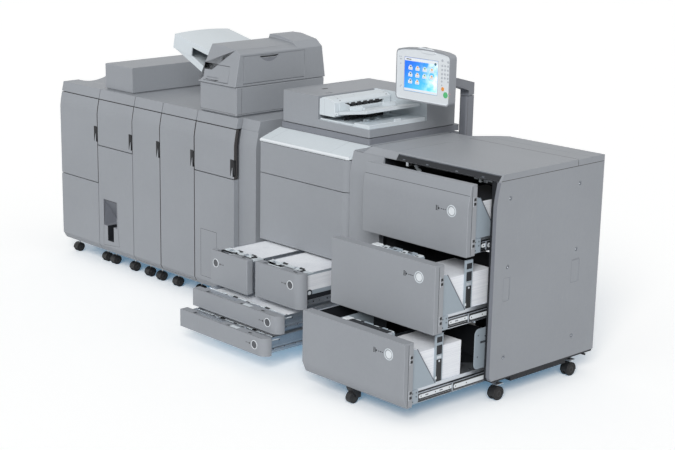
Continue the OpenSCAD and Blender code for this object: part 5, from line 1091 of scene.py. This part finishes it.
def panel_details():
    """Pale face, lit screen with its frame, keys and marks, lamp tab, start key and column seams."""
    low, high = cad("panel_housing")
    face_zone = ((low[0] + 2, low[1] + 1, low[2] + 2), (high[0] - 2, low[1] + 4.5, high[2] - 2), 1)
    dress("panel_housing", (GREY, WHITE), 3.0, zones=[face_zone], steps=3)
    paint("panel_screen", SCREEN)
    screen_picture()
    (x0, y, z0), (x1, _, z1) = cad("panel_screen")
    piece = piece_on("panel_housing", "panel_keys")
    for a, b, c, d in ((x0 - 3, z0 - 3, x1 + 3, z0), (x0 - 3, z1, x1 + 3, z1 + 3),
                       (x0 - 3, z0, x0, z1), (x1, z0, x1 + 3, z1)):
        piece.block((a, y - 0.6, b), (c, y + 0.6, d), KEY, 0.3)
    for z in (1413, 1394, 1375, 1357):
        for x in (2753, 2771, 2789):
            round_key(piece, x, y, z, 5.6, KEY, 16)
    for x, z, r in ((2753, 1437, 6.5), (2789, 1432, 6.5), (2753, 1340, 5), (2791, 1341, 5), (2753, 1322, 4)):
        round_key(piece, x, y, z, r, KEY, 18)
    round_key(piece, 2760, y, 1305, 9.5, ORANGE, 22, 1, 1.4)
    kx, _, kz = middle("start_key")
    round_key(piece, kx + 22, y, kz + 8, 6, PINK, 18, 1, 1.4)
    piece.knob((kx, y, kz), 1, [(15.2, 1), (15.4, -0.8), (16.6, -1.0), (17.4, 0.4)], WHITE, 36, hollow=True)
    piece.block((high[0] - 5.5, low[1] - 0.4, kz - 12), (high[0] - 1.5, low[1] + 0.4, kz - 7), LED, 0.3)
    for x, z in ((2480, 1428), (2490, 1428), (2484, 1417), (2492, 1417), (2488, 1396), (2488, 1286),
                 (2494, 1292)):
        piece.block((x - 3, y - 0.3, z - 3), (x + 3, y + 0.5, z + 3), KEY, 0.2)
    # Lamp tab in the middle of the top edge: a half ellipse on a straight foot
    t = np.radians(np.linspace(0, 180, 13))
    tab = np.stack([2665 + 46 * np.cos(t), high[2] - 21 + 20 * np.sin(t)], 1)
    outline = np.concatenate([tab, [[2632, high[2] - 27], [2698, high[2] - 27]]])
    piece.prism(outline, 1, low[1] + 0.1, low[1] + 6, WHITE, 1.2)
    piece.done()
    dome = [(0, 0.9), (9, 0.5), (12.4, 0), (13.8, 0.6), (14, 1.2)]
    push_button("start_key", "start_key_turned", dome, GREEN, gap=0)
    piece = piece_on("panel_column", "panel_column_details")
    c_low, c_high = cad("panel_column")
    piece.seam("panel_column", 0, 1, [(700, c_low[2] + 40), (700, c_high[2] - 60)], 1.2, DARK_LINES_AND_SHADE, 0.2)
    x = c_low[0] + 62
    piece.seam("panel_column", 1, -1, [(x, c_low[2] + 130), (x, 1190)], 1.2, DARK_LINES_AND_SHADE, 0.2)
    piece.done()


# Feeder and scanner


def feeder_unit_details():
    """Rollers, springs and latches in the feed unit's slot, its seams, its cheek, and the exit lip below."""
    unit = "feeder_unit"
    (x0, y0, _), (_, y1, _) = cad(unit)
    right = cad("document_tray")[0][0] - 6
    piece = piece_on(unit, unit + "_details")
    level = 1168
    piece.rod((right - 10, y0 + 40, level), (right - 10, y1 - 60, level), 6, BLACK, 18, 1)
    for y in np.linspace(y0 + 70, y1 - 110, 6):
        piece.rod((right - 10, y, level), (right - 10, y + 26, level), 11, BLACK, 20, 1.5)
        piece.block((right - 26, y + 6, level + 4), (right - 4, y + 16, level + 16), PALE, 1)
    for y in (y0 + 42, y1 - 26):
        piece.patch(unit, 2, 1, oblong(right - 34, y, right - 14, y + 9), BLACK, 0.6)
    for y in (y0 + 60, y0 + 92, y0 + 180):
        piece.seam(unit, 2, 1, [(x0 + 30, y), (x0 + 64, y)], 1.6, KEY, 0.4)
    piece.seam(unit, 1, -1, [(x0 + 36, 1118), (x0 + 36, 1196)], 1.0, KEY, 0.3)
    piece.seam(unit, 2, 1, [(x0 + 8, y0 + 26), (x0 + 90, y0 + 26)], 1.0, KEY, 0.3)
    cheek = [(y0 + 30, 1128), (y0 + 120, 1128), (y0 + 96, 1166), (y0 + 40, 1186), (y0 + 28, 1182)]
    piece.prism(cheek, 0, right - 4, right + 1, PALE, 1)
    # Exit lip with its notch and bump, and small ramps and rollers on it
    for a, b, top in ((y0 + 4, y0 + 96, 1101), (y0 + 96, y0 + 150, 1104), (y0 + 172, y0 + 216, 1118),
                      (y0 + 216, y1 - 12, 1104)):
        piece.block((2440, a, 1089), (2447, b, top), PALE, 1.5)
    for a, b in ((x0 + 6, 2300), (2300, 2440)):
        piece.block((a, y0 + 2, 1088.8), (b, y0 + 8, 1098), PALE, 1.5)
    for k, y in enumerate(np.linspace(y0 + 90, y0 + 250, 5)):
        piece.prism([(2330, 1092), (2350, 1104 + 2 * (k % 2)), (2368, 1092)], 1, y, y + 14, PALE, 0.8)
    # Near-black plate behind the exit rollers: painted shade in the exit
    piece.block((x0 + 112, y0 + 60, 1093), (x0 + 118, y1 - 60, 1116), NEAR_BLACK_AND_SHADE, 1)
    for y in np.linspace(y0 + 90, y1 - 110, 4):
        piece.rod((x0 + 118, y, 1110), (x0 + 118, y + 22, 1110), 7, BLACK, 16, 1)
    piece.done()


def feeder_details():
    """Rounded feeder with its pale bay, guides on the document tray, lever recess and the scanner's seam."""
    dress("feeder_housing", (GREY, PALE), 11.0, zones=[((2096, 143, 1050), (2449, 534, 1205), 1)], steps=3)
    dress("feeder_unit", (PALE,), 2.0)
    dress("document_tray", (PALE,), 1.5)
    dress("feeder_cover", (GREY,), 2.5)
    feeder_unit_details()
    tray = "document_tray"
    low, high = cad(tray)
    guide = piece_on(tray, tray + "_guides")
    for y in (low[1] + 70, high[1] - 90):
        xs = np.linspace(low[0] + 26, low[0] + 120, 5)
        z = np.array([touch(tray, 2, 1, x, y - 14) or high[2] for x in xs])
        outline = np.concatenate([np.stack([xs, z - 0.5], 1), np.stack([xs, z + 13], 1)[::-1]])
        guide.prism(outline, 1, y, y + 4, PALE, 0.8)
    for share in (0.25, 0.5, 0.75):
        y = low[1] + (high[1] - low[1]) * share
        guide.seam(tray, 2, 1, [(low[0] + 30, y), (high[0] - 16, y)], 1.6, KEY, 0.3)
    guide.done()
    lever = piece_on("feeder_cover", "feeder_lever_recess")
    # The lever recess drawn as painted shade: a dark rim round a black middle
    lever.patch("feeder_cover", 2, 1, rounded(1938, 300, 1956, 340, 8), DARK_LINES_AND_SHADE, 0.2)
    lever.patch("feeder_cover", 2, 1, rounded(1942, 308, 1952, 336, 4), BLACK, 0.5)
    lever.done()
    base = piece_on("scanner_base", "scanner_base_details")
    low, high = cad("scanner_base")
    z = low[2] + 14
    base.seam("scanner_base", 1, -1, [(low[0] + 6, z), (high[0] - 6, z)], 1.6, DARK_LINES_AND_SHADE, 0.2)
    base.seam("scanner_base", 0, 1, [(low[1] + 6, z), (high[1] - 6, z)], 1.6, DARK_LINES_AND_SHADE, 0.2)
    base.done()


# Docked cabinets

DOORED_CABINETS = ("stacker", "folding", "punch", "binding", "inserter")


def cabinet_details():
    """Doors with painted shade on their edge faces and black painted shade in their finger recesses, painted
    shade on the cabinets' sides and in the folding pocket, and the seams of an access panel and a pocket.
    """
    for cabinet in DOORED_CABINETS:
        name = cabinet + "_door"
        low, high = cad(name)
        # Painted shade: dark on the doors' edge faces, black in their finger recesses
        rims = [((a, -90, 60), (a + 2, 90, 1100), 2) for a in (low[0] - 1, high[0] - 1)]
        rims += [((low[0], -90, a), (high[0], 90, a + 2), 2) for a in (low[2] - 1, high[2] - 1)]
        recess = ((high[0] - 36, low[1] + 1.5, 736), (high[0] + 1, high[1] + 1, 828), 1)
        dress(name, (GREY, BLACK, DARK_LINES_AND_SHADE), zones=rims + [recess])
        piece = piece_on(name, name + "_grip")
        piece.patch(name, 1, -1, rounded(high[0] - 30, 738, high[0] - 3, 827, 2), BLACK, 0.4)
        piece.done()
    for cabinet in DOORED_CABINETS + ("docking",):
        name = cabinet + "_cabinet"
        low, high = cad(name)
        zones = []
        # Painted shade in the folding cabinet's pocket: deep grey above, near black below
        if cabinet == "folding":
            zones = [((low[0] + 45, 2, foot), (low[0] + 180, 70, top), number)
                     for foot, top, number in ((250, 410, 2), (150, 250, 1))]
        sides = (high[0],) if cabinet == "stacker" else (low[0], high[0])
        # Painted shade on the cabinets' side faces
        zones += [((side - 1, -90, 60), (side + 1, 760, 1002), 3) for side in sides]
        dress(name, (GREY, NEAR_BLACK_AND_SHADE, DEEP, DARK_LINES_AND_SHADE), zones=zones)
    piece = Piece("cabinet_marks", "line", "grey_cover")
    # Black painted shade in the docking cabinet's finger recess
    piece.patch("docking_cabinet", 1, -1, rounded(1790, 742, 1816, 824, 2), BLACK, 0.3)
    access_panel = [(1337, 152), (1471, 152), (1471, 412), (1337, 412), (1337, 152)]
    piece.seam("inserter_cabinet", 1, -1, access_panel, 1.6, DARK_LINES_AND_SHADE, 0.2)
    pocket = [(436, 404), (566, 404), (572, 250), (583, 150), (427, 136), (432, 250), (436, 404)]
    piece.seam("folding_cabinet", 1, -1, pocket, 1.4, DARK_LINES_AND_SHADE, 0.2)
    piece.done()


def inserter_details():
    """Inserter head, its covers with crescent grips, column seams and the relay box."""
    dress("inserter_housing", (GREY,), 4.0, steps=3)
    dress("inserter_side_cover", (GREY,), 2.0)
    dress("inserter_flap", (GREY,), 1.5)
    dress("inserter_trays", (PALE,), 3.0, steps=3)
    dress("relay_box", (GREY,), 2.5)
    side = piece_on("inserter_side_cover", "inserter_side_cover_grip")
    # Finger grip drawn as painted shade: a black crescent over a deep grey one
    side.patch("inserter_side_cover", 0, 1, crescent(188, 314, 1341, 9), BLACK, 0.5)
    side.patch("inserter_side_cover", 0, 1, crescent(200, 302, 1331, 17), DEEP, 0.25)
    side.done()
    low = cad("inserter_flap")[0]
    flap = piece_on("inserter_flap", "inserter_flap_grip")
    # Black crescent: painted shade of the flap's finger grip
    flap.patch("inserter_flap", 1, -1, crescent(low[0] + 26, low[0] + 130, low[2] + 9, 6), BLACK, 0.5)
    flap.done()
    column = Piece("inserter_column_details", "line", "grey_cover")
    for axis, side, path in ((0, 1, [(64, 1052), (64, 1190)]), (1, -1, [(1304, 1056), (1586, 1056)]),
                             (0, 1, [(34, 1056), (640, 1056)])):
        column.seam("inserter_housing", axis, side, path, 1.4, DARK_LINES_AND_SHADE, 0.2)
    column.done()


# Casters: each cabinet's left side, width and the casters' places as shares of that width

CABINET_CASTERS = ((0, 384, (0.08, 0.86)), (384, 340, (0.09, 0.66)), (724, 256, (0.12, 0.55)),
                   (980, 303, (0.12, 0.8)), (1283, 334, (0.12, 0.86)), (1617, 204, (0.5,)),
                   (1821, 643, (0.1, 0.9)))
CASTER_ROWS = (92, 642)
DECK_CASTERS = ((2510, (92, 500)), (3336, (92, 602)))
CABINET_WHEEL, DECK_WHEEL = (26.0, 95.0), (31.0, 76.0)  # radius and the height of the plate's top


def twin_wheels():
    """Casters: two tyres with hubs, a fender over them, a stem and a screwed plate, at every CAD caster."""
    black = piece_on("casters", "caster_wheels")
    places = [(start + width * share, y, *CABINET_WHEEL)
              for start, width, shares in CABINET_CASTERS for share in shares for y in CASTER_ROWS]
    places += [(x, y, *DECK_WHEEL) for x, ys in DECK_CASTERS for y in ys]
    for x, y, r, top in places:
        tyre = [(0, 0), (r * 0.55, 0), (r * 0.6, 1.5), (r * 0.94, 1.5), (r, 5), (r, 12), (r * 0.94, 16),
                (r * 0.62, 16.4), (r * 0.58, 15), (r * 0.3, 15), (r * 0.26, 17), (0, 17)]
        for side in (-1, 1):
            a, b = x + side * 4.5, x + side * 21.5
            black.turned((a, y, r - 0.4), (b, y, r - 0.4), tyre, RUBBER, 28)
            hub = [(r * 0.5, 0), (r * 0.46, 1.2), (0, 1.6)]
            black.turned((b - side * 2.2, y, r), (b, y, r), hub, BLACK, 20)
        outer, inner = (arc(0, 0, r * share, -12, 192, 14) for share in (1.1, 1.02))
        fender = np.concatenate([outer, inner[::-1]]) + (y, r)
        black.prism(fender, 0, x - 20, x + 20, BLACK, 0.8)
        stem = (x, y + r * 0.25)
        profile = [(8, 0), (8, 6), (6, 8), (6, top - r * 1.3)]
        black.turned((*stem, r * 1.3), (*stem, top), profile, STEEL, 16)
        black.block((x - 19, y - 14, top - 3.5), (x + 19, y + 30, top), STEEL, 1)
        for dx, dy in ((-14, -9), (14, -9), (-14, 25), (14, 25)):
            black.screw((x + dx, y + dy, top - 3.5), 2, -1, 3, DARK_STEEL, 1.0)
    black.done("casters")


def plain_covers():
    """Doors, bases, covers and fronts with rounded edges, the work shelf, and what keeps its CAD shape."""
    for name, material in (("engine_upper_door", GREY), ("engine_lower_door", GREY), ("scanner_base", DEEP),
                           ("panel_column", DEEP), ("panel_arm", DEEP)):
        dress(name, (material,))
    # The shelf's front lip in white: a painted highlight where the light falls on it
    dress("work_shelf", (PALE, WHITE), 2.0, zones=[((1822, -5, 955), (2466, 12, 1000), 1)])
    shelf = piece_on("work_shelf", "work_shelf_seams")
    low, high = cad("work_shelf")
    for x in (low[0] + 60, high[0] - 150):
        shelf.seam("work_shelf", 2, 1, [(x, low[1] + 14), (x + 14, high[1] - 12)], 1.6, KEY, 0.2)
    shelf.seam("work_shelf", 2, 1, [(low[0] + 8, low[1] + 12), (high[0] - 8, low[1] + 12)], 1.4, KEY, 0.2)
    shelf.done()
    # Near-black painted shade on the engine covers' inner faces
    dress("engine_covers", (GREY, NEAR_BLACK_AND_SHADE), zones=[((1822, 53, 100), (2463, 729, 1015), 1)])
    for names, width in ((DECK_DRAWERS, 2.5), (ENGINE_DRAWERS, 3.0)):
        for name in names:
            dress(name + "_front", (GREY,), width, smooth=40)
    paint("engine_frame", STEEL)
    paint("imaging_unit", DRUM)
    paint("platen_glass", PLATEN)


deck_marks()
deck_trays()
deck_body()
engine_buttons()
engine_trays()
panel_details()
feeder_details()
cabinet_details()
inserter_details()
twin_wheels()
plain_covers()
